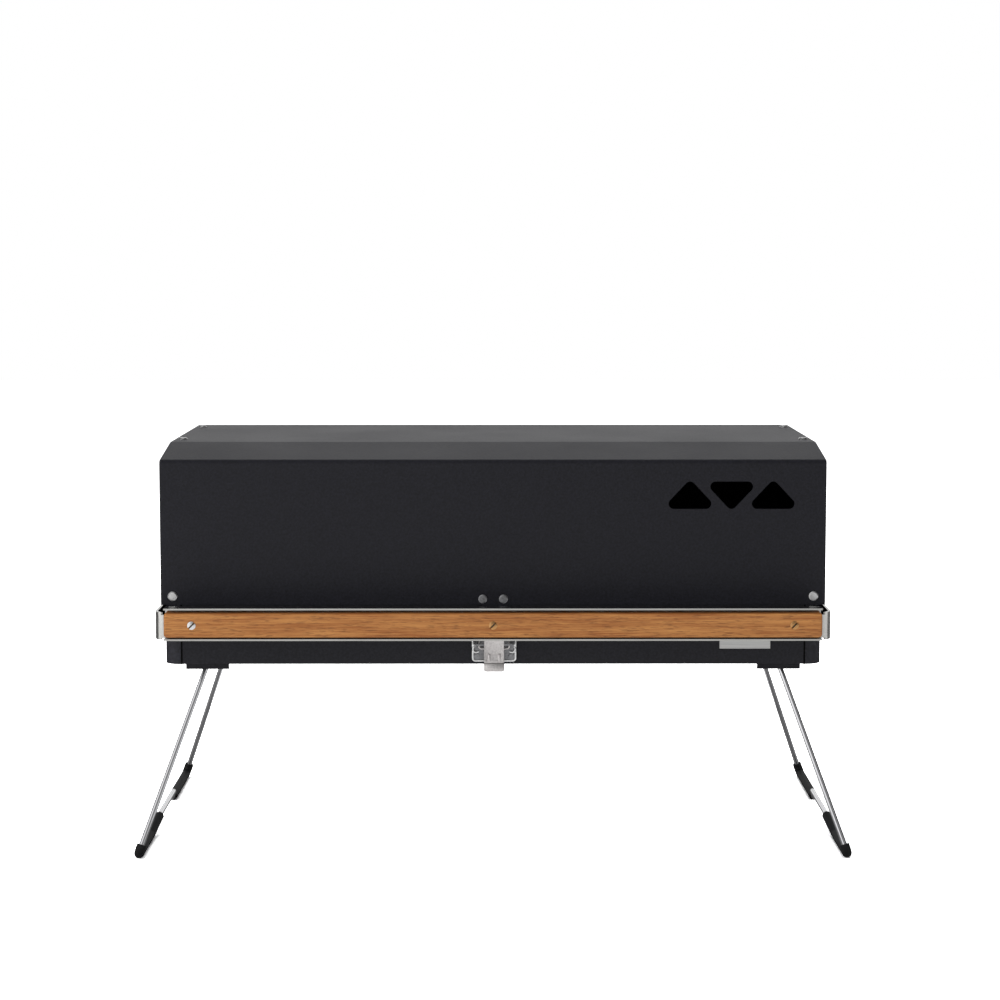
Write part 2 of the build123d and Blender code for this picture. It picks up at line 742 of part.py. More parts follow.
inlet_end = cap_face_x + inlet_len
inlet = block(pipe_x - elbow_half, pipe_x + elbow_half, inlet_y - elbow_half, inlet_y + elbow_half,
              burner_z - elbow_half, burner_z + elbow_half)
inlet_nut_x = cap_face_x + inlet_nut_t
inlet += rod((pipe_x, inlet_y, burner_z), (inlet_end, inlet_y, burner_z), inlet_r)
inlet += rod((pipe_x, inlet_y, burner_z), (inlet_nut_x + side_gap, inlet_y, burner_z), inlet_shank_r)
inlet += hexagon((cap_inner_x - inlet_hex_t, inlet_y, burner_z), (cap_inner_x, inlet_y, burner_z),
                 inlet_nut_w)
inlet_end_edge = inlet.faces().sort_by(Axis.X)[-1].edges()
inlet = chamfer(inlet_end_edge, inlet_edge)
inlet -= rod((pipe_x, inlet_y, burner_z), (inlet_end + over, inlet_y, burner_z), inlet_bore_r)
inlet_port_y = inlet_y - elbow_half
nodes["gas_inlet"] = inlet
inlet_nut = hexagon((cap_face_x, inlet_y, burner_z), (inlet_nut_x, inlet_y, burner_z), inlet_nut_w)
inlet_nut -= rod((cap_face_x - over, inlet_y, burner_z), (inlet_nut_x + over, inlet_y, burner_z),
                 inlet_shank_r + shank_gap)
nodes["inlet_nut"] = inlet_nut

pipe = rod((pipe_x, valve_port_y, burner_z), (pipe_x, inlet_port_y, burner_z), pipe_r)
for y in (valve_port_y, inlet_port_y - pipe_nut_len):
    pipe += hexagon((pipe_x, y, burner_z), (pipe_x, y + pipe_nut_len, burner_z), pipe_nut_w)
nodes["gas_pipe"] = pipe

# Push igniter, its short lead and the spark electrode
igniter_x0 = firebox_x + igniter_gap
igniter = rod((igniter_x0, igniter_y, igniter_z), (cap_face_x, igniter_y, igniter_z), igniter_r)
bezel_r = igniter_r + bezel_w
bezel_x = cap_face_x + bezel_t
igniter += rod((cap_face_x, igniter_y, igniter_z), (bezel_x, igniter_y, igniter_z), bezel_r)
igniter -= rod((bezel_x - button_deep, igniter_y, igniter_z), (bezel_x + over, igniter_y, igniter_z),
               button_r + side_gap)
nodes["igniter_body"] = igniter
igniter_nut = hexagon((cap_inner_x - igniter_nut_t, igniter_y, igniter_z),
                      (cap_inner_x, igniter_y, igniter_z), panel_nut_w)
igniter_nut -= rod((cap_inner_x - 2 * igniter_nut_t, igniter_y, igniter_z),
                   (cap_inner_x + over, igniter_y, igniter_z), igniter_r + shank_gap)
nodes["igniter_nut"] = igniter_nut
button_x1 = bezel_x + button_out
button = rod((bezel_x - button_deep + button_travel + side_gap, igniter_y, igniter_z),
             (button_x1, igniter_y, igniter_z), button_r)
nodes["igniter_button"] = chamfer(button.edges().sort_by(Axis.X)[-1], button_edge)
ceramic_x0 = firebox_x - ceramic_in
ceramic_x1 = firebox_x + ceramic_out
collar_x0 = firebox_x + sheet_t
electrode = rod((ceramic_x0, igniter_y, igniter_z), (ceramic_x1, igniter_y, igniter_z), electrode_r)
electrode += rod((collar_x0, igniter_y, igniter_z), (collar_x0 + collar_t, igniter_y, igniter_z), collar_r)
tip_reach = burner_bend_r + burner_r + spark_gap
tip_x = burner_right_x + sqrt(tip_reach ** 2 - igniter_front ** 2)
electrode += rod((tip_x, igniter_y, igniter_z), (ceramic_x0, igniter_y, igniter_z), wire_tip_r)
nodes["spark_electrode"] = electrode
nodes["ignition_lead"] = rod((ceramic_x1, igniter_y, igniter_z), (igniter_x0, igniter_y, igniter_z), lead_r)

# Hinges: three-knuckle leaves and a pin on each side of the back
lid_knuckle_w = hinge_w * 0.4
side_knuckle_w = (hinge_w - lid_knuckle_w) / 2 - knuckle_gap


def knuckle(x0, x1):
    return rod((x0, hinge_y, hinge_z), (x1, hinge_y, hinge_z), knuckle_r)


pin_hole = rod((hinge_x - hinge_w, hinge_y, hinge_z), (hinge_x + hinge_w, hinge_y, hinge_z),
               hinge_pin_r + running)
lid_leaf = block(hinge_x - hinge_w / 2, hinge_x + hinge_w / 2, lid_back_y, lid_back_y + sheet_t,
                 split_z + 2 * over, hinge_z + hinge_leaf_h)
lid_leaf += block(hinge_x - lid_knuckle_w / 2, hinge_x + lid_knuckle_w / 2, lid_back_y,
                  lid_back_y + sheet_t, hinge_z, split_z + 3 * over)
lid_leaf += knuckle(hinge_x - lid_knuckle_w / 2, hinge_x + lid_knuckle_w / 2)
lid_leaf -= pin_hole
for x in hinge_rivet_xs:
    lid_leaf -= rivet_hole((x, lid_back_y, hinge_lid_rivet_z), back, 2 * sheet_t, small_rivet_r)

base_leaf = block(hinge_x - hinge_w / 2, hinge_x + hinge_w / 2, base_back_y, base_back_y + sheet_t,
                  hinge_z - base_leaf_drop - base_leaf_h, hinge_z - base_leaf_drop)
leaf_arm = yz_face(
    (base_back_y, hinge_z - base_leaf_drop - over),
    (base_back_y + sheet_t, hinge_z - base_leaf_drop - over),
    (hinge_y + 0.3 * knuckle_r, hinge_z - 0.88 * knuckle_r),
    (hinge_y - 0.1 * knuckle_r, hinge_z - 0.6 * knuckle_r),
)
for x0 in (hinge_x - hinge_w / 2, hinge_x + hinge_w / 2 - side_knuckle_w):
    base_leaf += along_x(leaf_arm, x0, x0 + side_knuckle_w)
    base_leaf += knuckle(x0, x0 + side_knuckle_w)
base_leaf -= pin_hole
for x in hinge_rivet_xs:
    base_leaf -= rivet_hole((x, base_back_y, hinge_base_rivet_z), back, 2 * sheet_t, small_rivet_r)
hinge_pin = rod((hinge_x - hinge_w / 2 - over, hinge_y, hinge_z),
                (hinge_x + hinge_w / 2 + over, hinge_y, hinge_z), hinge_pin_r)
for name, shape in (("lid_leaf", lid_leaf), ("base_leaf", base_leaf), ("pin", hinge_pin)):
    nodes["hinge_" + name + "_right"] = shape
    nodes["hinge_" + name + "_left"] = other_side(shape)

hinge_lid_rivets = []
hinge_base_rivets = []
for side in (-1, 1):
    for x in hinge_rivet_xs:
        lid_place = (side * x, lid_back_y + sheet_t, hinge_lid_rivet_z)
        base_place = (side * x, base_back_y + sheet_t, hinge_base_rivet_z)
        hinge_lid_rivets.append(rivet(lid_place, back, 2 * sheet_t, small_rivet_r))
        hinge_base_rivets.append(rivet(base_place, back, 2 * sheet_t, small_rivet_r))
nodes["hinge_lid_rivets"] = group(hinge_lid_rivets)
nodes["hinge_base_rivets"] = group(hinge_base_rivets)


# Handle: a steel bail strip, a channel on its front and an oak slat in the channel
def strip_plan(inset):
    half = strip_half_w - inset
    y0 = lid_front_y - strip_reach + inset
    y1 = handle_pivot_y + strip_h / 2
    plan = make_face(Polyline((-half, y0), (half, y0), (half, y1), (-half, y1), close=True))
    corners = [v for v in plan.vertices() if v.Y < y0 + over]
    return fillet(corners, strip_bend_r - inset)


strip_z0 = handle_pivot_z - strip_h / 2
web_y = lid_front_y - strip_reach
strip = Pos(0, 0, strip_z0) * extrude(strip_plan(0) - strip_plan(strip_t), strip_h)
end_cut = block(-lid_w, lid_w, handle_pivot_y, handle_pivot_y + strip_h, strip_z0 - over,
                strip_z0 + strip_h + over)
end_cut -= rod((-lid_w, handle_pivot_y, handle_pivot_z), (lid_w, handle_pivot_y, handle_pivot_z),
               strip_h / 2)
strip -= end_cut
web_half = strip_half_w - web_end
for edge in (-1, 1):
    z = handle_pivot_z + edge * (web_h + strip_h) / 2
    strip -= Pos(0, web_y, z) * Box(2 * web_half, 4 * strip_t, strip_h)
strip -= rod((-lid_w, handle_pivot_y, handle_pivot_z), (lid_w, handle_pivot_y, handle_pivot_z),
             pivot_screw_r + running)
slat_z = channel_z - slat_drop
slat_screw_x = channel_half_w - slat_screw_in
screw_xs = (-slat_screw_x, 0.0, slat_screw_x)
slat_front_y = lid_front_y - handle_reach
for x in screw_xs:
    strip -= rod((x, slat_front_y, slat_z), (x, web_y + 2 * strip_t, slat_z), screw_shank_r + shank_gap)
nodes["handle_strip"] = strip

channel_z0 = channel_z - channel_h / 2
channel = block(-channel_half_w, channel_half_w, web_y - channel_depth, web_y, channel_z0,
                channel_z0 + channel_h)
channel -= block(-channel_half_w - over, channel_half_w + over, web_y - channel_depth - over,
                 web_y - sheet_t, channel_z0 + sheet_t, channel_z0 + channel_h - sheet_t)
for x in screw_xs:
    channel -= rod((x, slat_front_y, slat_z), (x, web_y + over, slat_z), screw_shank_r + shank_gap)
nodes["slat_channel"] = channel

slat_t = handle_reach - strip_reach - sheet_t
slat_face = Plane.XZ * Pos(0, slat_z) * RectangleRounded(2 * channel_half_w, slat_h, slat_corner_r)
slat = Pos(0, web_y - sheet_t, 0) * extrude(slat_face, slat_t)
slat = fillet(slat.faces().sort_by(Axis.Y)[0].edges(), slat_edge_r)
cone_h = slat_screw_r - screw_shank_r
for x in screw_xs:
    slat -= rod((x, slat_front_y - over, slat_z), (x, web_y, slat_z), screw_shank_r + shank_gap)
    cone = Cone(screw_shank_r, slat_screw_r, cone_h, align=(Align.CENTER, Align.CENTER, Align.MAX))
    slat -= Plane(origin=(x, slat_front_y, slat_z), z_dir=front) * cone
nodes["handle_slat"] = slat

slat_screws = []
for x in screw_xs:
    cone = Cone(screw_shank_r, slat_screw_r - shank_gap, cone_h,
                align=(Align.CENTER, Align.CENTER, Align.MAX))
    driver_slot = Rot(0, 0, driver_slot_turn) * Box(2 * slat_screw_r, driver_slot_w, driver_slot_h)
    head = Plane(origin=(x, slat_front_y, slat_z), z_dir=front) * (cone - driver_slot)
    shank = rod((x, slat_front_y + cone_h - shank_gap, slat_z), (x, web_y + strip_t, slat_z),
                screw_shank_r)
    slat_screws.append(head + shank)
nodes["slat_screws"] = group(slat_screws)

washer_x0 = cap_face_x + running
washer_x1 = strip_half_w - strip_t - running
pivot_start = (cap_inner_x - pivot_nut_t - pivot_end, handle_pivot_y, handle_pivot_z)
head_x = strip_half_w + running
pivot_screw = rod(pivot_start, (head_x + over, handle_pivot_y, handle_pivot_z), pivot_screw_r)
pivot_screw += rod((head_x, handle_pivot_y, handle_pivot_z),
                   (head_x + pivot_head_t, handle_pivot_y, handle_pivot_z), pivot_head_r)
pivot_screw = chamfer(pivot_screw.edges().sort_by(Axis.X)[-1], pivot_head_edge)
washer = rod((washer_x0, handle_pivot_y, handle_pivot_z), (washer_x1, handle_pivot_y, handle_pivot_z),
             washer_r)
pivot_nut = hexagon((cap_inner_x - pivot_nut_t, handle_pivot_y, handle_pivot_z),
                    (cap_inner_x, handle_pivot_y, handle_pivot_z), pivot_nut_w)
pivot_bore = rod((cap_inner_x - 2 * pivot_nut_t, handle_pivot_y, handle_pivot_z),
                 (lid_w, handle_pivot_y, handle_pivot_z), pivot_screw_r + shank_gap)
nodes["handle_pivot_screws"] = group([pivot_screw, other_side(pivot_screw)])
nodes["handle_washers"] = group([washer - pivot_bore, other_side(washer - pivot_bore)])
nodes["handle_nuts"] = group([pivot_nut - pivot_bore, other_side(pivot_nut - pivot_bore)])

# Legs: each one bent wire, open inside its bracket, with rubber sleeves at the feet
leg_plane = Plane(origin=(leg_pivot_x, 0, leg_pivot_z), x_dir=(0, 1, 0), z_dir=(-cos(lean), 0, -sin(lean)))
top_y0 = lid_front_y + leg_top_in
top_y1 = lid_back_y - leg_top_in
foot_y0 = lid_front_y + leg_foot_in
foot_y1 = lid_back_y - leg_foot_in
leg_mid_y = (top_y0 + top_y1) / 2
low = leg_length
high = leg_length - bar_rise / cos(lean)


def leg_path():
    return FilletPolyline(
        (leg_mid_y - leg_end_gap / 2, 0), (top_y0, 0), (foot_y0, low), (foot_y0 + front_run, low),
        (foot_y0 + front_run + front_ramp, high), (foot_y1 - back_run - back_step, high),
        (foot_y1 - back_run, low), (foot_y1, low), (top_y1, 0), (leg_mid_y + leg_end_gap / 2, 0),
        radius=(leg_bend_r, foot_bend_r, ramp_bend_r, ramp_bend_r,
                step_bend_r, step_bend_r, foot_bend_r, leg_bend_r),
    )


def tube_on(path, radius):
    profile = Plane(origin=path @ 0, z_dir=path % 0) * Circle(radius)
    return sweep(profile, path=path)


leg = tube_on(leg_plane * leg_path(), leg_wire_r)
nodes["leg_right"] = leg
nodes["leg_left"] = other_side(leg)


def sleeve(top_y, foot_y, *rest, radius):
    corner = Vector(foot_y, low)
    leg_way = (Vector(top_y, 0) - corner).normalized()
    inside = radians(leg_way.get_angle(Vector(*rest[0]) - corner))
    start = corner + leg_way * (foot_bend_r / tan(inside / 2) + sleeve_up)
    path = leg_plane * FilletPolyline((start.X, start.Y), (foot_y, low), *rest, radius=radius)
    tube = tube_on(path, sleeve_r) - tube_on(path, leg_wire_r + shank_gap)
    return tube - block(-2 * foot_x, 2 * foot_x, -lid_d, lid_d, -4 * sleeve_r, 0)


ramp_y = foot_y0 + front_run
covered = (front_ramp - sleeve_end_in) / front_ramp
ramp_end = (ramp_y + front_ramp * covered, low + (high - low) * covered)
front_sleeve = sleeve(top_y0, foot_y0, (ramp_y, low), ramp_end, radius=(foot_bend_r, ramp_bend_r))
back_end = (foot_y1 - back_run + sleeve_end_in, low)
back_sleeve = sleeve(top_y1, foot_y1, back_end, radius=foot_bend_r)
nodes["foot_sleeve_front_right"] = front_sleeve
nodes["foot_sleeve_back_right"] = back_sleeve
nodes["foot_sleeve_front_left"] = other_side(front_sleeve)
nodes["foot_sleeve_back_left"] = other_side(back_sleeve)

# Leg brackets: a plate under the floor with curled loops round the wire
bracket_y0 = lid_front_y + bracket_y_in
bracket_y1 = lid_back_y - bracket_y_in
bracket_z = hem_z - bracket_drop
bracket_x0 = bracket_x - bracket_half_w
bracket_x1 = bracket_x + bracket_half_w
bracket = block(bracket_x0, bracket_x1, bracket_y0, bracket_y1, floor_z - sheet_t, floor_z)
for y in (bracket_y0, bracket_y1 - sheet_t):
    bracket += block(bracket_x0, bracket_x1, y, y + sheet_t, bracket_z, floor_z)
bracket += block(bracket_x1 - sheet_t, bracket_x1, bracket_y0, bracket_y1, bracket_z, floor_z)
stop_x = leg_pivot_x + (leg_pivot_z - bracket_z) * tan(lean) + leg_wire_r / cos(lean) + side_gap
for y0, y1 in ((bracket_y0, top_y0 + stop_past), (top_y1 - stop_past, bracket_y1)):
    bracket += block(stop_x, bracket_x1, y0, y1, bracket_z, bracket_z + sheet_t)
loop_r = leg_wire_r + running + 0.8 * sheet_t
for y in (top_y0 + bracket_loop_in, leg_mid_y, top_y1 - bracket_loop_in):
    y0 = y - bracket_loop_w / 2
    y1 = y + bracket_loop_w / 2
    bracket += rod((leg_pivot_x, y0, leg_pivot_z), (leg_pivot_x, y1, leg_pivot_z), loop_r)
    bracket += block(leg_pivot_x - loop_r, leg_pivot_x, y0, y1, leg_pivot_z, floor_z)
bracket -= rod((leg_pivot_x, bracket_y0 + 2 * sheet_t, leg_pivot_z),
               (leg_pivot_x, bracket_y1 - 2 * sheet_t, leg_pivot_z), leg_wire_r + running)
for place, outward in bracket_rivet_places:
    bracket -= rivet_hole(place, outward, 3 * sheet_t, small_rivet_r)
nodes["leg_bracket_right"] = bracket
nodes["leg_bracket_left"] = other_side(bracket)
nodes["bracket_rivets"] = group(
    [rivet(p, d, 2 * sheet_t, small_rivet_r) for p, d in bracket_rivet_places])

# Draw latch: base plate, lever, wire bail and stub pins
ear_x1 = ear_x0 + sheet_t
wing_x1 = wing_x0 + wing_t
plate_mid_z = (latch_z0 + latch_z1) / 2
plate_face = Plane.XZ * Pos(latch_x, plate_mid_z) * RectangleRounded(
    2 * latch_half_w, latch_h, latch_corner_r)
latch_plate = Pos(0, base_front_y, 0) * extrude(plate_face, sheet_t)
for side in (-1, 1):
    x0 = latch_x + side * (ear_x0 + ear_x1) / 2 - sheet_t / 2
    ear = rod((x0, latch_axis_y, latch_axis_z), (x0 + sheet_t, latch_axis_y, latch_axis_z), ear_r)
    ear += block(x0, x0 + sheet_t, latch_axis_y, base_front_y, latch_axis_z - ear_r, latch_axis_z + ear_r)
    ear -= rod((x0 - over, latch_axis_y, latch_axis_z), (x0 + 2 * over + sheet_t, latch_axis_y, latch_axis_z),
               latch_pin_r + running)
    latch_plate += ear
for place, outward in latch_rivet_places:
    latch_plate -= rivet_hole(place, outward, 3 * sheet_t, small_rivet_r)
nodes["latch_plate"] = latch_plate
nodes["latch_rivets"] = group([rivet(p, d, 2 * sheet_t, small_rivet_r) for p, d in latch_rivet_places])

tongue_y0 = latch_axis_y - tongue_out
tongue_y1 = tongue_y0 + sheet_t
bail_y = latch_axis_y + bail_back
bail_z = latch_axis_z - bail_drop
lever_z1 = latch_axis_z + lever_top
nose_z = lever_z0 + lever_nose_h
lever_face = Polyline(
    (-lever_nose_half_w, lever_z0), (lever_nose_half_w, lever_z0), (lever_nose_half_w, nose_z),
    (lever_half_w, nose_z + lever_nose_r), (lever_half_w, lever_z1), (-lever_half_w, lever_z1),
    (-lever_half_w, nose_z + lever_nose_r), (-lever_nose_half_w, nose_z), close=True)
lever_face = make_face(lever_face)
nose_corners = [v for v in lever_face.vertices() if v.Y < lever_z0 + over]
lever_face = fillet(nose_corners, lever_nose_r)
lever = Pos(0, tongue_y1, 0) * extrude(Plane.XZ * lever_face, sheet_t)
lip_half_w = lever_nose_half_w - lever_nose_r
lever += block(-lip_half_w, lip_half_w, tongue_y0 - lever_lip, tongue_y1, lever_z0, lever_z0 + sheet_t)
for x in (-bead_x, bead_x):
    lever += rod((x, tongue_y0, nose_z), (x, tongue_y0, lever_z1 - bead_r), bead_r)
wing_z = lever_z0 + wing_up
lever += block(-wing_x1, wing_x1, tongue_y0, tongue_y1, wing_z, wing_z + wing_bar_h)
lever += block(-lever_half_w, lever_half_w, tongue_y0, bail_y, bail_z - barrel_r,
               bail_z - barrel_r + wing_t)
lever += rod((-lever_half_w, bail_y, bail_z), (lever_half_w, bail_y, bail_z), barrel_r)
wing = yz_face(
    (tongue_y0, wing_z),
    (tongue_y1, wing_z),
    (latch_axis_y + wing_half_d, latch_axis_z - wing_half_d),
    (latch_axis_y + wing_half_d, latch_axis_z),
    (latch_axis_y - wing_half_d, latch_axis_z),
    (tongue_y0, latch_axis_z - 2 * wing_half_d),
)
for x0 in (-wing_x1, wing_x0):
    lever += along_x(wing, x0, x0 + wing_t)
    lever += rod((x0, latch_axis_y, latch_axis_z), (x0 + wing_t, latch_axis_y, latch_axis_z), wing_eye_r)
lever -= rod((-wing_x1 - over, latch_axis_y, latch_axis_z), (-wing_x0 + over, latch_axis_y, latch_axis_z),
             latch_pin_r + running)
lever -= rod((wing_x0 - over, latch_axis_y, latch_axis_z), (wing_x1 + over, latch_axis_y, latch_axis_z),
             latch_pin_r + running)
lever -= rod((-wing_x0, bail_y, bail_z), (wing_x0, bail_y, bail_z), bail_r + running)
nodes["latch_lever"] = Pos(latch_x, 0, 0) * lever

stub = rod((wing_x0 + running, latch_axis_y, latch_axis_z), (ear_x1 + over, latch_axis_y, latch_axis_z),
           latch_pin_r)
stub += rod((ear_x1 + shank_gap, latch_axis_y, latch_axis_z), (ear_x1 + over, latch_axis_y, latch_axis_z),
            latch_pin_head_r)
nodes["latch_pins"] = group([Pos(latch_x, 0, 0) * pin for pin in (stub, other_side(stub))])

bar_y = lip_y - bail_r - bail_gap
bar_z = keeper_z0 + bail_hook_up
rise = Vector(0, bar_y - bail_y, bar_z - bail_z)
bail_plane = Plane(origin=(latch_x, bail_y, bail_z), x_dir=(1, 0, 0),
                   z_dir=Vector(1, 0, 0).cross(rise.normalized()))
bail_end = lever_half_w - bail_end_in
bail_path = bail_plane * FilletPolyline(
    (-bail_end, 0), (-bail_half_w, 0), (-bail_half_w, rise.length),
    (bail_half_w, rise.length), (bail_half_w, 0), (bail_end, 0), radius=bail_bend_r)
nodes["latch_bail"] = tube_on(bail_path, bail_r)

# Bare steel plate on the front of the base
front_plate_x = lid_half_w - front_plate_in
front_plate_z = hem_z + front_plate_up
nodes["front_plate"] = block(front_plate_x - front_plate_w / 2, front_plate_x + front_plate_w / 2,
                             base_front_y - front_plate_t, base_front_y,
                             front_plate_z - front_plate_h / 2, front_plate_z + front_plate_h / 2)

os.makedirs("parts", exist_ok=True)
for name, shape in nodes.items():
    export_step(shape, "parts/" + name + ".step")
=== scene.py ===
from math import pi, radians

import bmesh
import bpy
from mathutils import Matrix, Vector


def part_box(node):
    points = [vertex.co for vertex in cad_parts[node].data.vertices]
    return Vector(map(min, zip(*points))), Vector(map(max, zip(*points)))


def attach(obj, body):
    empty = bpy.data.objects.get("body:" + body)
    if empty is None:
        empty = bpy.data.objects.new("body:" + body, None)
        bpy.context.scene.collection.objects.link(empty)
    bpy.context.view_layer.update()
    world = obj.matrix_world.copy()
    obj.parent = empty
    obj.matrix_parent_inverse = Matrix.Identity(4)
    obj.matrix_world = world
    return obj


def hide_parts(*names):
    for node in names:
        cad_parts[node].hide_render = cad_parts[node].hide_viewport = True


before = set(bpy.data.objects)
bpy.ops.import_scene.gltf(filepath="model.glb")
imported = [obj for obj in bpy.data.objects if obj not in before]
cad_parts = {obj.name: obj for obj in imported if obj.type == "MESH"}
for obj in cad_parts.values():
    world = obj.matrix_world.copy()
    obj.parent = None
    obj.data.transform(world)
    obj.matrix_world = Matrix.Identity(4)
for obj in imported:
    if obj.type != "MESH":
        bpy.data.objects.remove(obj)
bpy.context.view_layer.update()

bpy.ops.object.select_all(action="DESELECT")

# Base pan: 1.2 mm sheet steel folded up at the front and back, with hemmed lower edges, and
# the leg brackets and rivets under it. They are powder coated black: a dry, finely grained
# skin that turns pale only at a glancing angle.


def srgb(text):
    """Turns a colour written as #rrggbb into the linear values that a socket takes."""
    channels = [int(text[place:place + 2], 16) / 255 for place in (1, 3, 5)]
    linear = [c / 12.92 if c <= 0.04045 else ((c + 0.055) / 1.055) ** 2.4 for c in channels]
    return (*linear, 1.0)


def per_mm(size):
    """The noise scale at which one cell of the pattern is so many millimetres wide."""
    return 1000.0 / size


def add(tree, kind, inputs=None, **settings):
    """Adds a node, sets its properties, and gives each input a value or a link."""
    made = tree.nodes.new(kind)
    for name, value in settings.items():
        setattr(made, name, value)
    for socket, value in (inputs or {}).items():
        if isinstance(value, bpy.types.NodeSocket):
            tree.links.new(value, made.inputs[socket])
        else:
            made.inputs[socket].default_value = value
    return made


def start_material(name):
    """An empty node material and its tree."""
    material = bpy.data.materials.new(name)
    material.use_nodes = True
    material.node_tree.nodes.clear()
    return material, material.node_tree


def give(material, *names):
    """Puts one material on each of these CAD nodes."""
    for name in names:
        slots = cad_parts[name].data.materials
        slots.clear()
        slots.append(material)


resin_ior = 1.5


def powder_coat(name, dark, light, roughness, shine, grain_mm=1.5, patch_mm=70.0):
    """Fused powder. Its grain is drawn at 1.5 mm, because the real 0.2 mm would not show."""
    roughness_swing, grain_height = 0.02, 0.00028
    material, tree = start_material(name)
    place = add(tree, "ShaderNodeTexCoord").outputs["Object"]
    grain = add(tree, "ShaderNodeTexNoise", {
        "Vector": place, "Scale": per_mm(grain_mm), "Detail": 3.0, "Roughness": 0.6})
    patches = add(tree, "ShaderNodeTexNoise", {
        "Vector": place, "Scale": per_mm(patch_mm), "Detail": 2.0, "Roughness": 0.5})
    tone = add(tree, "ShaderNodeMapRange", {
        "Value": grain.outputs["Fac"], "From Min": 0.35, "From Max": 0.65})
    colour = add(tree, "ShaderNodeMix", {
        "Factor": tone.outputs["Result"], "A": srgb(dark), "B": srgb(light)},
        data_type="RGBA")
    gloss = add(tree, "ShaderNodeMapRange", {
        "Value": patches.outputs["Fac"], "From Min": 0.3, "From Max": 0.7,
        "To Min": roughness - roughness_swing, "To Max": roughness + roughness_swing})
    bump = add(tree, "ShaderNodeBump", {
        "Height": grain.outputs["Fac"], "Strength": 0.7, "Distance": grain_height})
    shader = add(tree, "ShaderNodeBsdfPrincipled", {
        "Base Color": colour.outputs["Result"], "Roughness": gloss.outputs["Result"],
        "IOR": resin_ior, "Specular IOR Level": shine, "Normal": bump.outputs["Normal"]})
    add(tree, "ShaderNodeOutputMaterial", {"Surface": shader.outputs["BSDF"]})
    return material


base_coat = powder_coat("base_powder_coat", "#121217", "#1c1c22", roughness=0.55,
                         shine=0.27)
give(base_coat, "base_pan", "leg_bracket_left", "leg_bracket_right", "base_rivets",
     "bracket_rivets")

# Base end caps: cast aluminium ends with rounded corners, tongued into the pan.
# Their satin coat is a shade lighter and bluer than the sheet's, and its grain is coarser,
# because the casting's own skin shows through.
cap_coat = powder_coat("cast_cap_coat", "#15151a", "#222229", roughness=0.5, shine=0.27,
                       grain_mm=2.2)
give(cap_coat, "base_end_left", "base_end_right")

# Lid: a folded front, top and back between two flanged end plates, all 1.2 mm steel, with the
# latch keeper inside its front. It has the same black powder coat as the pan, baked a little
# smoother, so that the top picks up the backdrop. The keeper takes this black as painted shade
# under the lid's front edge.
lid_coat = powder_coat("lid_powder_coat", "#131318", "#1b1b22", roughness=0.48, shine=0.26)
# Painted shade: the latch keeper is given the lid's black.
give(lid_coat, "lid_shell", "lid_end_left", "lid_end_right", "lid_keeper")

# Firebox ends, burner rest, drip tray, hinge leaves and the small front plate: bare stainless
# sheet, cut and folded. It is brushed along its length, so its shine is drawn out across the
# brushing.


def brushed_steel(name, dark, light, roughness):
    """Hairlines from an abrasive belt along X. The real 0.1 mm ones are drawn at 0.9 mm."""
    hair_mm, run_mm, smear_mm = 0.9, 40.0, 18.0
    roughness_swing, hair_depth = 0.05, 0.00006
    material, tree = start_material(name)
    place = add(tree, "ShaderNodeTexCoord").outputs["Object"]
    drawn = add(tree, "ShaderNodeMapping", {
        "Vector": place, "Scale": (per_mm(run_mm), per_mm(hair_mm), per_mm(hair_mm))})
    hairs = add(tree, "ShaderNodeTexNoise", {
        "Vector": drawn.outputs["Vector"], "Scale": 1.0, "Detail": 4.0, "Roughness": 0.65})
    smears = add(tree, "ShaderNodeTexNoise", {
        "Vector": place, "Scale": per_mm(smear_mm), "Detail": 2.0, "Roughness": 0.5})
    tone = add(tree, "ShaderNodeMapRange", {
        "Value": hairs.outputs["Fac"], "From Min": 0.3, "From Max": 0.7})
    colour = add(tree, "ShaderNodeMix", {
        "Factor": tone.outputs["Result"], "A": srgb(dark), "B": srgb(light)},
        data_type="RGBA")
    gloss = add(tree, "ShaderNodeMapRange", {
        "Value": smears.outputs["Fac"], "From Min": 0.3, "From Max": 0.7,
        "To Min": roughness - roughness_swing, "To Max": roughness + roughness_swing})
    bump = add(tree, "ShaderNodeBump", {
        "Height": hairs.outputs["Fac"], "Strength": 0.25, "Distance": hair_depth})
    shader = add(tree, "ShaderNodeBsdfPrincipled", {
        "Base Color": colour.outputs["Result"], "Metallic": 1.0,
        "Roughness": gloss.outputs["Result"], "Normal": bump.outputs["Normal"]})
    add(tree, "ShaderNodeOutputMaterial", {"Surface": shader.outputs["BSDF"]})
    return material


sheet_steel = brushed_steel("brushed_stainless_sheet", "#b4b4b3", "#c9c9c7",
                            roughness=0.36)
give(sheet_steel, "firebox_end_left", "firebox_end_right", "burner_rest", "drip_tray",
     "hinge_lid_leaf_left", "hinge_lid_leaf_right", "hinge_base_leaf_left",
     "hinge_base_leaf_right", "front_plate")

# Handle bar and slat channel: flat stainless bar bent into a U, and a folded channel on its
# front. Both are polished after brushing, so they mirror the room in soft-edged bands.
bright_steel = brushed_steel("polished_stainless_bar", "#adaca9", "#bdbcb8",
                             roughness=0.17)
give(bright_steel, "slat_channel", "handle_strip")
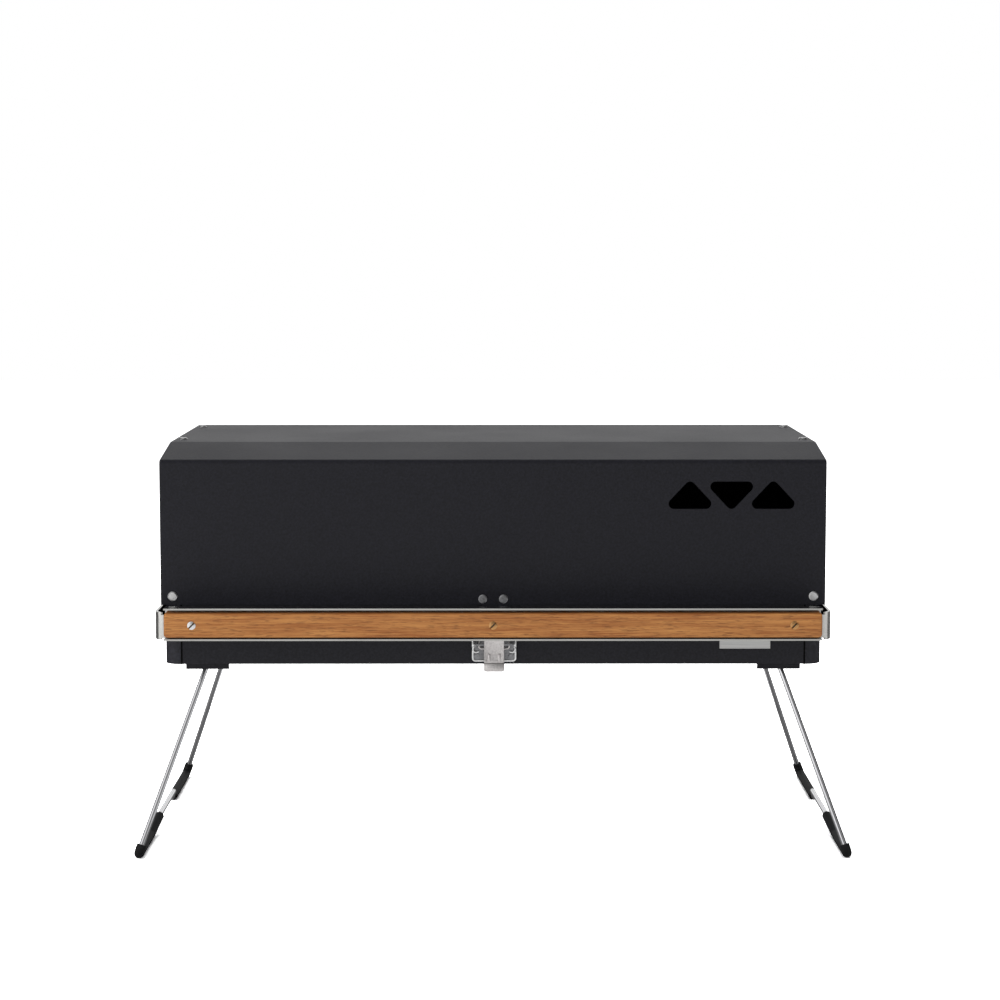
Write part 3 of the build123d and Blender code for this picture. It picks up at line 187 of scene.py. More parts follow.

# Fasteners, pins and the gas pipe: zinc plated steel, cold headed or drawn, and barrel plated.
# Tumbling leaves the plating bright but faintly pitted. The two rivets of the latch keeper
# are painted darker and duller than the rest, as shade under the lid's front edge.


def mottled_metal(name, dark, light, roughness):
    """Plated or turned metal. Its mottle is drawn at 1.2 mm, because finer pits don't show."""
    mottle_mm, pit_depth = 1.2, 0.00005
    material, tree = start_material(name)
    place = add(tree, "ShaderNodeTexCoord").outputs["Object"]
    mottle = add(tree, "ShaderNodeTexNoise", {
        "Vector": place, "Scale": per_mm(mottle_mm), "Detail": 3.0, "Roughness": 0.55})
    colour = add(tree, "ShaderNodeMix", {
        "Factor": mottle.outputs["Fac"], "A": srgb(dark), "B": srgb(light)},
        data_type="RGBA")
    bump = add(tree, "ShaderNodeBump", {
        "Height": mottle.outputs["Fac"], "Strength": 0.2, "Distance": pit_depth})
    shader = add(tree, "ShaderNodeBsdfPrincipled", {
        "Base Color": colour.outputs["Result"], "Metallic": 1.0, "Roughness": roughness,
        "Normal": bump.outputs["Normal"]})
    add(tree, "ShaderNodeOutputMaterial", {"Surface": shader.outputs["BSDF"]})
    return material


zinc = mottled_metal("zinc_plated_steel", "#d2d2d2", "#ececec", roughness=0.3)
give(zinc, "lid_rivets", "hinge_lid_rivets", "hinge_base_rivets", "latch_pins",
     "hinge_pin_left", "hinge_pin_right", "handle_pivot_screws", "handle_washers",
     "handle_nuts", "valve_nut", "inlet_nut", "igniter_nut", "gas_pipe", "valve_stem")
# Painted shade: the keeper's rivets take a darker, duller zinc.
keeper_shade_zinc = mottled_metal("keeper_rivet_zinc_painted_shade", "#7c7c7f", "#e6e6e9", roughness=0.42)
give(keeper_shade_zinc, "keeper_rivets")

# Legs: 4 mm spring steel wire, each leg one bent piece, held in the loops of its bracket.
# Bright chrome plate makes the wire a narrow mirror: pale lines with dark edges.
chrome = mottled_metal("chrome_plated_wire", "#d0d0d4", "#dededf", roughness=0.08)
give(chrome, "leg_left", "leg_right")

# Foot sleeves: black rubber tube pushed over the wire at each corner.
# It is nearly matt, and shows a dull grey sheen only where it is seen edge on.


def grained_skin(name, dark, light, roughness, grain_mm, shine=0.5):
    """Rubber, plastic, glaze or a coating on a casting, each with a grain of its own size."""
    grain_height = 0.0001
    material, tree = start_material(name)
    place = add(tree, "ShaderNodeTexCoord").outputs["Object"]
    grain = add(tree, "ShaderNodeTexNoise", {
        "Vector": place, "Scale": per_mm(grain_mm), "Detail": 2.0, "Roughness": 0.5})
    tone = add(tree, "ShaderNodeMix", {
        "Factor": grain.outputs["Fac"], "A": srgb(dark), "B": srgb(light)},
        data_type="RGBA")
    bump = add(tree, "ShaderNodeBump", {
        "Height": grain.outputs["Fac"], "Strength": 0.3, "Distance": grain_height})
    shader = add(tree, "ShaderNodeBsdfPrincipled", {
        "Base Color": tone.outputs["Result"], "Roughness": roughness, "IOR": resin_ior,
        "Specular IOR Level": shine, "Normal": bump.outputs["Normal"]})
    add(tree, "ShaderNodeOutputMaterial", {"Surface": shader.outputs["BSDF"]})
    return material


rubber = grained_skin("black_rubber", "#0d0d0e", "#171718", roughness=0.66, grain_mm=1.0,
                      shine=0.33)
give(rubber, "foot_sleeve_front_left", "foot_sleeve_front_right",
     "foot_sleeve_back_left", "foot_sleeve_back_right")

# Control knob and igniter: black phenolic, moulded in a spark-eroded tool, on the valve's stem
# and in the right end cap. The tool's fine texture gives an even satin. The igniter's lead
# has a jacket of the same black.
plastic = grained_skin("black_phenolic", "#121213", "#1c1c1d", roughness=0.45, grain_mm=0.8)
give(plastic, "control_knob", "igniter_body", "igniter_button", "ignition_lead")

# Spark electrode: a fired ceramic rod beside the burner's ports.
# Its white glaze is glossy and very slightly uneven.
ceramic = grained_skin("glazed_ceramic", "#e8e6df", "#f2f0ea", roughness=0.2, grain_mm=3.0)
give(ceramic, "spark_electrode")

# Grate: one cast aluminium plate with tapered slots between its bars, laid on the firebox
# ends. Its dark non-stick coat is satin, with the casting's grain showing through.
grate_coat = grained_skin("coated_cast_grate", "#1d1d1e", "#2a2a2b", roughness=0.5,
                          grain_mm=1.5)
give(grate_coat, "grate")

# Burner: an oval loop of stainless tube with slotted ports, bent and welded.
# The flame has toned its drawn surface to a warm, darker grey.
burner_steel = brushed_steel("stainless_burner_tube", "#8f8a83", "#b3ada4", roughness=0.32)
give(burner_steel, "burner")

# Gas valve and inlet: turned and threaded brass, held in the right end cap by nuts.
# Turning leaves it bright yellow with a soft mottle, and handling has dulled it a little.
brass = mottled_metal("turned_brass", "#b08a45", "#c9a561", roughness=0.3)
give(brass, "gas_valve", "gas_inlet")

# Oak slat: a planed and oiled oak strip with rounded edges, screwed into the channel.
# Oil darkens the open grain. The rounded edges and ends are painted a darker brown, as shade.
slat_low, slat_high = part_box("handle_slat")
slat_front = slat_low[1]
slat_middle_z = (slat_high[2] + slat_low[2]) / 2
# Widths of the bands along the edges and ends that are painted darker, as shade.
shaded_edge_band, shaded_end_band = 0.0007, 0.0008
field_half_h = (slat_high[2] - slat_low[2]) / 2 - shaded_edge_band
field_half_w = slat_high[0] - shaded_end_band
oak_ior = 1.47


def oiled_oak(name):
    """Flat-sawn grain along X: broad growth bands, fine fibres, and short dark open pores."""
    late_wood, early_wood, pore_brown, edge_shade_brown = "#945624", "#bd8144", "#5f3515", "#714018"
    edge_shade_share, fibre_height = 0.6, 0.0002
    material, tree = start_material(name)
    place = add(tree, "ShaderNodeTexCoord").outputs["Object"]
    layers = []
    # Length and width in mm, detail and waviness of the bands, the fibres and the pores.
    for along_mm, across_mm, detail, distortion in (
            (95.0, 4.2, 3.0, 0.5), (26.0, 0.8, 3.0, 0.0), (7.0, 0.55, 1.0, 0.0)):
        drawn = add(tree, "ShaderNodeMapping", {
            "Vector": place, "Scale": (per_mm(along_mm), per_mm(across_mm), per_mm(across_mm))})
        layers.append(add(tree, "ShaderNodeTexNoise", {
            "Vector": drawn.outputs["Vector"], "Scale": 1.0, "Detail": detail,
            "Roughness": 0.6, "Distortion": distortion}).outputs["Fac"])
    bands, fibres, pores = layers
    tone = add(tree, "ShaderNodeMath", {0: bands, 1: fibres}, operation="ADD")
    ramp = add(tree, "ShaderNodeMapRange", {
        "Value": tone.outputs["Value"], "From Min": 0.76, "From Max": 1.22})
    plain = add(tree, "ShaderNodeMix", {
        "Factor": ramp.outputs["Result"], "A": srgb(late_wood), "B": srgb(early_wood)},
        data_type="RGBA")
    pore = add(tree, "ShaderNodeMapRange", {
        "Value": pores, "From Min": 0.57, "From Max": 0.66, "To Max": 0.55})
    grained = add(tree, "ShaderNodeMix", {
        "Factor": pore.outputs["Result"], "A": plain.outputs["Result"], "B": srgb(pore_brown)},
        data_type="RGBA")
    # Painted shade: the rounded edges and ends are mixed towards a darker brown.
    point = add(tree, "ShaderNodeSeparateXYZ", {"Vector": place})
    in_height = add(tree, "ShaderNodeMath", {
        0: point.outputs["Z"], 1: slat_middle_z, 2: field_half_h}, operation="COMPARE")
    in_length = add(tree, "ShaderNodeMath", {
        0: point.outputs["X"], 1: 0.0, 2: field_half_w}, operation="COMPARE")
    field = add(tree, "ShaderNodeMath", {
        0: in_height.outputs["Value"], 1: in_length.outputs["Value"]}, operation="MULTIPLY")
    edge = add(tree, "ShaderNodeMath", {
        0: edge_shade_share, 1: field.outputs["Value"]}, operation="SUBTRACT")
    colour = add(tree, "ShaderNodeMix", {
        "Factor": edge.outputs["Value"], "A": grained.outputs["Result"],
        "B": srgb(edge_shade_brown)}, data_type="RGBA")
    bump = add(tree, "ShaderNodeBump", {
        "Height": fibres, "Strength": 0.4, "Distance": fibre_height})
    shader = add(tree, "ShaderNodeBsdfPrincipled", {
        "Base Color": colour.outputs["Result"], "Roughness": 0.5, "IOR": oak_ior,
        "Normal": bump.outputs["Normal"]})
    add(tree, "ShaderNodeOutputMaterial", {"Surface": shader.outputs["BSDF"]})
    return material


give(oiled_oak("oiled_oak"), "handle_slat")

# Slat screws: three countersunk steel screws with a straight driver slot, driven flush into
# the slat. The left one is bright zinc, and the other two are tinted yellow-brown near the
# wood's colour, as a painted reflection of the oak. The slots are painted a darker brownish
# steel, as shade inside them.


def only(obj):
    """Leaves one object selected and active."""
    bpy.ops.object.select_all(action="DESELECT")
    obj.select_set(True)
    bpy.context.view_layer.objects.active = obj


def settle(obj):
    """Puts the object's place, turn and size into its mesh."""
    only(obj)
    bpy.ops.object.transform_apply(location=True, rotation=True, scale=True)


def pick(kind, test):
    """In edit mode, selects the verts, edges or faces that pass the test. It is given the
    middle of each, with an edge's run from end to end or a face's normal."""
    bpy.ops.mesh.select_mode(type={"verts": "VERT", "edges": "EDGE", "faces": "FACE"}[kind])
    bpy.ops.mesh.select_all(action="DESELECT")
    shape = bmesh.from_edit_mesh(bpy.context.object.data)
    for part in getattr(shape, kind):
        if kind == "faces":
            chosen = test(part.calc_center_median(), part.normal)
        elif kind == "edges":
            start, end = part.verts
            chosen = test((start.co + end.co) / 2, start.co - end.co)
        else:
            chosen = test(part.co)
        part.select_set(chosen)
    shape.select_flush_mode()
    bmesh.update_edit_mesh(bpy.context.object.data)


def finish_mesh(obj, angle):
    """Merges doubles, turns the faces outwards and smooths edges flatter than the angle."""
    only(obj)
    bpy.ops.object.mode_set(mode="EDIT")
    bpy.ops.mesh.select_all(action="SELECT")
    bpy.ops.mesh.remove_doubles(threshold=0.000005)
    bpy.ops.mesh.normals_make_consistent(inside=False)
    bpy.ops.object.mode_set(mode="OBJECT")
    bpy.ops.object.shade_smooth_by_angle(angle=radians(angle))


# A face looks along an axis when its normal has this share along it.
square_on = 0.9
screw_pitch = 0.2086
head_r, head_edge, head_behind_face = 0.0029, 0.0004, 0.0001
shoulder_wide, shoulder_rise = 0.0007, 0.00025
crown_step, crown_rise = 0.0009, 0.0001
shank_r, cone_long, shank_long = 0.0015, 0.0012, 0.0105
slot_long, slot_depth, slot_wide, slot_turn = 0.01, 0.0022, 0.0011, -45
slot_half_pick, slot_pick_out, slot_pick_in = 0.0008, 0.0005, 0.0013
bpy.ops.mesh.primitive_cylinder_add(
    vertices=40, radius=head_r, depth=head_edge,
    location=(0.0, slat_front + head_behind_face, slat_middle_z),
    rotation=(radians(90), 0.0, 0.0))
screw = bpy.context.object
screw.name = "slat_screw_middle"
settle(screw)
bpy.ops.object.mode_set(mode="EDIT")
pick("faces", lambda middle, normal: normal.y < -square_on)
bpy.ops.mesh.inset(thickness=shoulder_wide)
bpy.ops.transform.translate(value=(0.0, -shoulder_rise, 0.0))
bpy.ops.mesh.inset(thickness=crown_step)
bpy.ops.transform.translate(value=(0.0, -crown_rise, 0.0))
pick("faces", lambda middle, normal: normal.y > square_on)
bpy.ops.mesh.inset(thickness=head_r - shank_r)
bpy.ops.transform.translate(value=(0.0, cone_long, 0.0))
bpy.ops.mesh.extrude_region_move(TRANSFORM_OT_translate={"value": (0.0, shank_long, 0.0)})
bpy.ops.object.mode_set(mode="OBJECT")
bpy.ops.mesh.primitive_cube_add(
    size=1.0, location=(0.0, slat_front, slat_middle_z),
    rotation=(0.0, radians(slot_turn), 0.0))
slot_cutter = bpy.context.object
slot_cutter.scale = (slot_long, slot_depth, slot_wide)
settle(slot_cutter)
only(screw)
slot = screw.modifiers.new("driver_slot", "BOOLEAN")
slot.operation = "DIFFERENCE"
slot.object = slot_cutter
bpy.ops.object.modifier_apply(modifier=slot.name)
bpy.data.objects.remove(slot_cutter)
finish_mesh(screw, angle=30)
# Painted reflection: the middle and right screws take the oak's yellow-brown.
oak_reflection_plating = mottled_metal("screw_plating_painted_oak_reflection", "#b07f4c", "#d6a873", roughness=0.36)
# Painted shade: the driver slot's faces take a darker brownish steel.
slot_shade = mottled_metal("painted_driver_slot_shade", "#5f5346", "#857560", roughness=0.5)
screw.data.materials.append(oak_reflection_plating)
screw.data.materials.append(slot_shade)
bpy.ops.object.mode_set(mode="EDIT")
pick("faces", lambda middle, normal: abs(middle.x - middle.z + slat_middle_z) < slot_half_pick
     and slat_front - slot_pick_out < middle.y < slat_front + slot_pick_in)
screw.active_material_index = 1
bpy.ops.object.material_slot_assign()
bpy.ops.object.mode_set(mode="OBJECT")
screws = [screw]
for name, x in {"slat_screw_left": -screw_pitch, "slat_screw_right": screw_pitch}.items():
    only(screw)
    bpy.ops.object.duplicate()
    twin = bpy.context.object
    twin.name = name
    twin.location.x = x
    settle(twin)
    screws.append(twin)
bpy.data.objects["slat_screw_left"].data.materials[0] = zinc
for piece in screws:
    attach(piece, "handle")
    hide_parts("slat_screws")

# Joint shadow strips: a near-black strip pressed into the 0.5 mm joint between the pan and
# each end cap, as painted shadow of the gap. A crowned bead is left standing over the joint.
# It is dead matt, and shows as a thin dark line round the box.


def mirrored_twin(piece, name, middle_x, angle):
    """A copy with its own mesh, mirrored left to right about middle_x."""
    only(piece)
    bpy.ops.object.duplicate()
    twin = bpy.context.object
    twin.name = name
    bpy.ops.object.mode_set(mode="EDIT")
    bpy.ops.mesh.select_all(action="SELECT")
    bpy.ops.transform.resize(value=(-1.0, 1.0, 1.0), center_override=(middle_x, 0.0, 0.0))
    bpy.ops.object.mode_set(mode="OBJECT")
    finish_mesh(twin, angle)
    return twin


pan_low, pan_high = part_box("base_pan")
pan_middle = (Vector(pan_low) + Vector(pan_high)) / 2
joint_x, bead_wide, bead_thick, bend_r = 0.22085, 0.0011, 0.0002, 0.0011
root_inset, root_depth = 0.00026, 0.0008
crown_inset, crown_height = 0.0003, 0.00012
open_top, broad_side, edge_on = 0.001, 0.01, 0.1


def faces_pan(middle, normal):
    """How far a broad face of the bead looks at the pan's middle, below 0 if it looks away."""
    return (pan_middle - middle).dot(normal) if abs(normal.x) < edge_on else 0.0


bpy.ops.mesh.primitive_plane_add(
    size=1.0, location=(-joint_x, pan_middle.y, pan_middle.z),
    rotation=(0.0, radians(90), 0.0))
joint_shade = bpy.context.object
joint_shade.name = "cap_joint_shadow_strip_left"
joint_shade.scale = (pan_high[2] - pan_low[2] + bead_thick, pan_high[1] - pan_low[1] + bead_thick, 1.0)
settle(joint_shade)
bpy.ops.object.mode_set(mode="EDIT")
pick("verts", lambda place: place.z < pan_middle.z)
bpy.ops.mesh.bevel(offset=bend_r, segments=6, affect="VERTICES")
pick("faces", lambda middle, normal: True)
bpy.ops.mesh.delete(type="ONLY_FACE")
pick("edges", lambda middle, run: middle.z > pan_high[2] - open_top)
bpy.ops.mesh.delete(type="EDGE")
bpy.ops.mesh.select_all(action="SELECT")
bpy.ops.mesh.extrude_region_move(TRANSFORM_OT_translate={"value": (-bead_wide, 0.0, 0.0)})
bpy.ops.object.mode_set(mode="OBJECT")
strip = joint_shade.modifiers.new("bead_thickness", "SOLIDIFY")
strip.thickness = bead_thick
strip.offset = 0.0
bpy.ops.object.modifier_apply(modifier=strip.name)
bpy.ops.object.mode_set(mode="EDIT")
bpy.ops.mesh.select_all(action="SELECT")
bpy.ops.mesh.normals_make_consistent(inside=False)
pick("faces", lambda middle, normal: faces_pan(middle, normal) > broad_side)
bpy.ops.mesh.inset(thickness=root_inset)
bpy.ops.mesh.extrude_region_shrink_fatten(TRANSFORM_OT_shrink_fatten={"value": root_depth})
pick("faces", lambda middle, normal: faces_pan(middle, normal) < -broad_side)
bpy.ops.mesh.inset(thickness=crown_inset)
bpy.ops.transform.shrink_fatten(value=crown_height)
bpy.ops.object.mode_set(mode="OBJECT")
finish_mesh(joint_shade, angle=40)
# Painted shadow: the strip's near-black stands in for the shade in the joint.
joint_shade_black = grained_skin("painted_joint_shadow_black", "#030303", "#070707", roughness=0.8,
                        grain_mm=1.2, shine=0.05)
joint_shade.data.materials.append(joint_shade_black)
other_joint_shade = mirrored_twin(joint_shade, "cap_joint_shadow_strip_right", middle_x=0.0, angle=40)
for piece in (joint_shade, other_joint_shade):
    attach(piece, "base")

# Latch plate: pressed steel, riveted to the front of the pan, with a rolled rim round it.
# Its hot-dip zinc stays dull and speckled in the field, and the rim is burnished bright
# where the bail rubs it.


def round_edges(obj, name, width, segments, angle):
    """Rounds the active object's edges that are sharper than the angle."""
    bevel = obj.modifiers.new(name, "BEVEL")
    bevel.width = width
    bevel.segments = segments
    bevel.angle_limit = radians(angle)
    bpy.ops.object.modifier_apply(modifier=bevel.name)


plate_zinc = mottled_metal("galvanised_latch_plate", "#6d6d70", "#a9a9ab", roughness=0.45)
give(plate_zinc, "latch_plate", "latch_rivets")
rim_zinc = mottled_metal("burnished_rim", "#d9d9d9", "#f2f2f2", roughness=0.3)
latch_x, plate_front = 0.0007, -0.1209
plate_low, plate_high, plate_wide = 0.1448, 0.168, 0.0316
plate_corner_r, rim_wide, rim_height, roll_r = 0.0025, 0.0014, 0.0009, 0.00042
bpy.ops.mesh.primitive_plane_add(
    size=1.0, location=(latch_x, plate_front, (plate_low + plate_high) / 2),
    rotation=(radians(90), 0.0, 0.0))
rim = bpy.context.object
rim.name = "latch_plate_rim"
rim.scale = (plate_wide, plate_high - plate_low, 1.0)
settle(rim)
bpy.ops.object.mode_set(mode="EDIT")
bpy.ops.mesh.select_all(action="SELECT")
bpy.ops.mesh.bevel(offset=plate_corner_r, segments=6, affect="VERTICES")
pick("faces", lambda middle, normal: True)
bpy.ops.mesh.inset(thickness=rim_wide)
bpy.ops.mesh.delete(type="FACE")
bpy.ops.object.mode_set(mode="OBJECT")
wall = rim.modifiers.new("rim_height", "SOLIDIFY")
wall.thickness = rim_height
wall.offset = 1.0
bpy.ops.object.modifier_apply(modifier=wall.name)
round_edges(rim, "rolled_edge", roll_r, segments=4, angle=40)
finish_mesh(rim, angle=50)
rim.data.materials.append(rim_zinc)
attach(rim, "base")

# Latch plate's wire keepers: two short curls of wire, welded flat on the plate outside the
# bail. They stop the bail from sliding sideways, and their rounded backs catch the light.
curl_r, curl_wire = 0.0024, 0.0008
curl_out, curl_height = 0.0126, 0.154
cut_out, cut_up, cut_normal = 0.0122, 0.0004, (0.87, 0.0, 0.5)
bpy.ops.mesh.primitive_torus_add(
    major_segments=48, minor_segments=12, major_radius=curl_r, minor_radius=curl_wire,
    location=(latch_x - curl_out, plate_front - curl_wire, curl_height),
    rotation=(radians(90), 0.0, 0.0))
curl = bpy.context.object
curl.name = "latch_curl_left"
settle(curl)
bpy.ops.object.mode_set(mode="EDIT")
bpy.ops.mesh.select_all(action="SELECT")
bpy.ops.mesh.bisect(
    plane_co=(latch_x - cut_out, 0.0, curl_height + cut_up), plane_no=cut_normal,
    clear_outer=True, use_fill=True)
bpy.ops.object.mode_set(mode="OBJECT")
finish_mesh(curl, angle=50)
curl.data.materials.append(rim_zinc)
other_curl = mirrored_twin(curl, "latch_curl_right", middle_x=latch_x, angle=50)
for piece in (curl, other_curl):
    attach(piece, "base")

# Latch lever: pressed from thicker sheet, a tongue with a dished field, a folded finger nose
# and two stiffening beads. Its arms turn on pins in the plate's ears, and the bail hooks
# through the barrel behind the tongue. Thumbs have worn the zinc pale and smooth.
lever_zinc = mottled_metal("worn_latch_lever", "#aaa6a5", "#efebea", roughness=0.42)
give(lever_zinc, "latch_bail")
tongue_front, tongue_back = -0.1279, -0.1267
tongue_low, tongue_high, tongue_half_w = 0.1456, 0.1622, 0.00705
nose_low, nose_half_w, nose_corner_r = 0.1386, 0.00735, 0.0016
crease_depth, crease_upper, crease_lower = 0.0003, 0.0004, 0.0005
field_border, field_depth = 0.0009, 0.0003
nose_border, nose_proud = 0.0008, 0.0005
nose_end, across_sheet, clear_of_crease = 0.0002, 0.0008, 0.002
bpy.ops.mesh.primitive_cube_add(
    size=1.0, location=(latch_x, (tongue_front + tongue_back) / 2,
                        (tongue_low + tongue_high) / 2))
lever = bpy.context.object
lever.name = "latch_lever_pressing"
lever.scale = (2 * tongue_half_w, tongue_back - tongue_front, tongue_high - tongue_low)
settle(lever)
lever.data.materials.append(lever_zinc)
bpy.ops.object.mode_set(mode="EDIT")
pick("faces", lambda middle, normal: normal.z < -square_on)
bpy.ops.mesh.extrude_region_move(
    TRANSFORM_OT_translate={"value": (0.0, crease_depth, -crease_upper)})
bpy.ops.mesh.extrude_region_move(
    TRANSFORM_OT_translate={"value": (0.0, -crease_depth, -crease_lower)})
bpy.ops.transform.resize(value=(nose_half_w / tongue_half_w, 1.0, 1.0),
                         center_override=(latch_x, 0.0, 0.0))
bpy.ops.mesh.extrude_region_move(TRANSFORM_OT_translate={
    "value": (0.0, 0.0, nose_low - tongue_low + crease_upper + crease_lower)})
pick("edges", lambda middle, run: middle.z < nose_low + nose_end
     and abs(run.y) > across_sheet)
bpy.ops.mesh.bevel(offset=nose_corner_r, segments=6)
pick("faces", lambda middle, normal: normal.y < -square_on
     and middle.z > tongue_low + clear_of_crease)
bpy.ops.mesh.inset(thickness=field_border)
bpy.ops.transform.translate(value=(0.0, field_depth, 0.0))
pick("faces", lambda middle, normal: normal.y < -square_on
     and middle.z < tongue_low - clear_of_crease)
bpy.ops.mesh.inset(thickness=nose_border)
bpy.ops.transform.translate(value=(0.0, -nose_proud, 0.0))
bpy.ops.object.mode_set(mode="OBJECT")
bead_x, bead_r, bead_low, bead_high = 0.0036, 0.001, 0.1458, 0.1515
bead_end_inset, bead_end_r = bead_r * 0.4, bead_r * 0.7
arm_in, arm_out, arm_height, arm_lap, arm_thinner = 0.0117, 0.0127, 0.0015, 0.0004, 0.0003
arm_edge_r, along_arm = 0.0004, 0.003
eye_r, eye_wall = 0.002, 0.0009
pin_y, pin_z = -0.1261, 0.158
lever_parts = []
for side in (-1, 1):
    bpy.ops.mesh.primitive_cylinder_add(
        vertices=20, radius=bead_r, depth=bead_high - bead_low,
        location=(latch_x + side * bead_x, tongue_front + field_depth,
                  (bead_low + bead_high) / 2))
    bead = bpy.context.object
    settle(bead)
    bead.data.materials.append(lever_zinc)
    bpy.ops.object.mode_set(mode="EDIT")
    pick("faces", lambda middle, normal: abs(normal.z) > square_on)
    bpy.ops.mesh.inset(thickness=bead_end_inset)
    bpy.ops.object.mode_set(mode="OBJECT")
    round_edges(bead, "rounded_end", bead_end_r, segments=4, angle=50)
    bpy.ops.mesh.primitive_cylinder_add(
        vertices=28, radius=eye_r, depth=arm_out - arm_in,
        location=(latch_x + side * (arm_in + arm_out) / 2, pin_y, pin_z),
        rotation=(0.0, radians(90), 0.0))
    eye = bpy.context.object
    settle(eye)
    eye.data.materials.append(plate_zinc)
    bpy.ops.object.mode_set(mode="EDIT")
    pick("faces", lambda middle, normal: abs(normal.x) > square_on)
    bpy.ops.mesh.inset(thickness=eye_wall)
    bpy.ops.mesh.bridge_edge_loops()
    bpy.ops.object.mode_set(mode="OBJECT")
    bpy.ops.mesh.primitive_cube_add(
        size=1.0, location=(latch_x + side * (tongue_half_w + arm_out) / 2,
                            (tongue_front + tongue_back) / 2, pin_z))
    arm = bpy.context.object
    arm.scale = (arm_out - tongue_half_w + arm_lap,
                 tongue_back - tongue_front - arm_thinner, arm_height)
    settle(arm)
    arm.data.materials.append(plate_zinc)
    bpy.ops.object.mode_set(mode="EDIT")
    pick("edges", lambda middle, run: abs(run.x) > along_arm)
    bpy.ops.mesh.bevel(offset=arm_edge_r, segments=3)
    bpy.ops.object.mode_set(mode="OBJECT")
    lever_parts += [bead, eye, arm]
barrel_y, barrel_z, barrel_r, barrel_bore_r = -0.1235, 0.1545, 0.0017, 0.0008
web_height, web_lap, web_up = 0.001, 0.0002, 0.0005
web_edge_r, along_web, pressed_r = 0.0003, 0.002, 0.0002
bpy.ops.mesh.primitive_cylinder_add(
    vertices=32, radius=barrel_r, depth=2 * tongue_half_w,
    location=(latch_x, barrel_y, barrel_z), rotation=(0.0, radians(90), 0.0))
barrel = bpy.context.object
settle(barrel)
barrel.data.materials.append(lever_zinc)
bpy.ops.object.mode_set(mode="EDIT")
pick("faces", lambda middle, normal: abs(normal.x) > square_on)
bpy.ops.mesh.inset(thickness=barrel_r - barrel_bore_r)
bpy.ops.mesh.bridge_edge_loops()
bpy.ops.object.mode_set(mode="OBJECT")
bpy.ops.mesh.primitive_cube_add(
    size=1.0, location=(latch_x, (tongue_back + barrel_y) / 2 - web_lap,
                        barrel_z - barrel_r + web_up))
web = bpy.context.object
web.scale = (2 * tongue_half_w, barrel_y - tongue_back + web_lap, web_height)
settle(web)
web.data.materials.append(lever_zinc)
bpy.ops.object.mode_set(mode="EDIT")
pick("edges", lambda middle, run: abs(run.y) > along_web)
bpy.ops.mesh.bevel(offset=web_edge_r, segments=2)
bpy.ops.object.mode_set(mode="OBJECT")
only(lever)
for part in (*lever_parts, barrel, web):
    part.select_set(True)
bpy.ops.object.join()
round_edges(lever, "pressed_edge", pressed_r, segments=2, angle=55)
finish_mesh(lever, angle=40)
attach(lever, "lever")
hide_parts("latch_lever")

# Studio: a pale paper floor, a soft box overhead, a large fill in front and a small one at
# each side. To the camera the floor is white even in shade. The lamps show in no reflection:
# there the surround below takes their place.
floor_size, floor_to_camera = 12.0, 3.0


def grey(level):
    """A neutral linear colour, where 1 is white."""
    return (level, level, level, 1.0)


bpy.ops.mesh.primitive_plane_add(size=floor_size)
floor = bpy.context.object
floor.name = "studio_floor"
floor_paper, floor_tree = start_material("white_paper")
seen = add(floor_tree, "ShaderNodeLightPath")
paper_colour = add(floor_tree, "ShaderNodeMix", {
    "Factor": seen.outputs["Is Camera Ray"], "A": srgb("#f2f2f2"), "B": grey(floor_to_camera)},
    data_type="RGBA")
paper = add(floor_tree, "ShaderNodeBsdfDiffuse", {"Color": paper_colour.outputs["Result"]})
add(floor_tree, "ShaderNodeOutputMaterial", {"Surface": paper.outputs["BSDF"]})
floor.data.materials.append(floor_paper)


def soft_box(name, place, target, size, power):
    """A rectangular lamp that faces its target."""
    lamp = bpy.data.lights.new(name, "AREA")
    lamp.shape = "RECTANGLE"
    lamp.size, lamp.size_y = size
    lamp.energy = power
    box = bpy.data.objects.new(name, lamp)
    bpy.context.scene.collection.objects.link(box)
    box.location = place
    aim = Vector(target) - Vector(place)
    box.rotation_euler = aim.to_track_quat("-Z", "Y").to_euler()
    box.visible_glossy = False
    box.visible_camera = False


soft_box("overhead_box", (0.0, 0.4, 1.9), target=(0.0, 0.0, 0.1), size=(1.4, 0.9),
         power=13.0)
soft_box("front_fill", (-1.5, -2.3, 0.9), target=(0.0, 0.0, 0.15), size=(1.6, 1.2),
         power=24.0)
soft_box("side_box_left", (-2.4, -0.3, 0.8), target=(0.0, 0.0, 0.0), size=(0.4, 0.3),
         power=26.0)
soft_box("side_box_right", (2.4, -0.2, 0.8), target=(0.0, 0.0, 0.0), size=(0.4, 0.3),
         power=16.0)

# Flags: grey cloth, upright at the sides and flat on the floor beside and behind the legs.
# They show only in reflections, as the dark edges of the bright steel and chrome.
flag_cloth, flag_tree = start_material("grey_flag_cloth")
cloth = add(flag_tree, "ShaderNodeBsdfDiffuse", {"Color": srgb("#8c8c8c")})
add(flag_tree, "ShaderNodeOutputMaterial", {"Surface": cloth.outputs["BSDF"]})
flag_long = 1.2
# The right-hand one's middle, its tilt in degrees, and its width.
flags = {"side_flag": ((0.7, 0.55, 0.3), 90, 0.6), "floor_flag": ((0.5, 0.45, 0.002), 0, 0.66)}
for name, ((x, y, z), tilt, flag_wide) in flags.items():
    for side, word in ((-1, "left"), (1, "right")):
        bpy.ops.mesh.primitive_plane_add(
            size=1.0, location=(side * x, y, z), rotation=(0.0, radians(tilt), 0.0))
        flag = bpy.context.object
        flag.name = name + "_" + word
        flag.scale = (flag_wide, flag_long, 1.0)
        settle(flag)
        flag.data.materials.append(flag_cloth)
        flag.visible_camera = False
        flag.visible_diffuse = False
        flag.visible_shadow = False
        flag.visible_transmission = False

# Surround: white straight to the camera, and an even grey light on the object. Reflections
# see it as a room, with bright walls, dark gaps between them and a dimmer ceiling.
room_light = 0.5
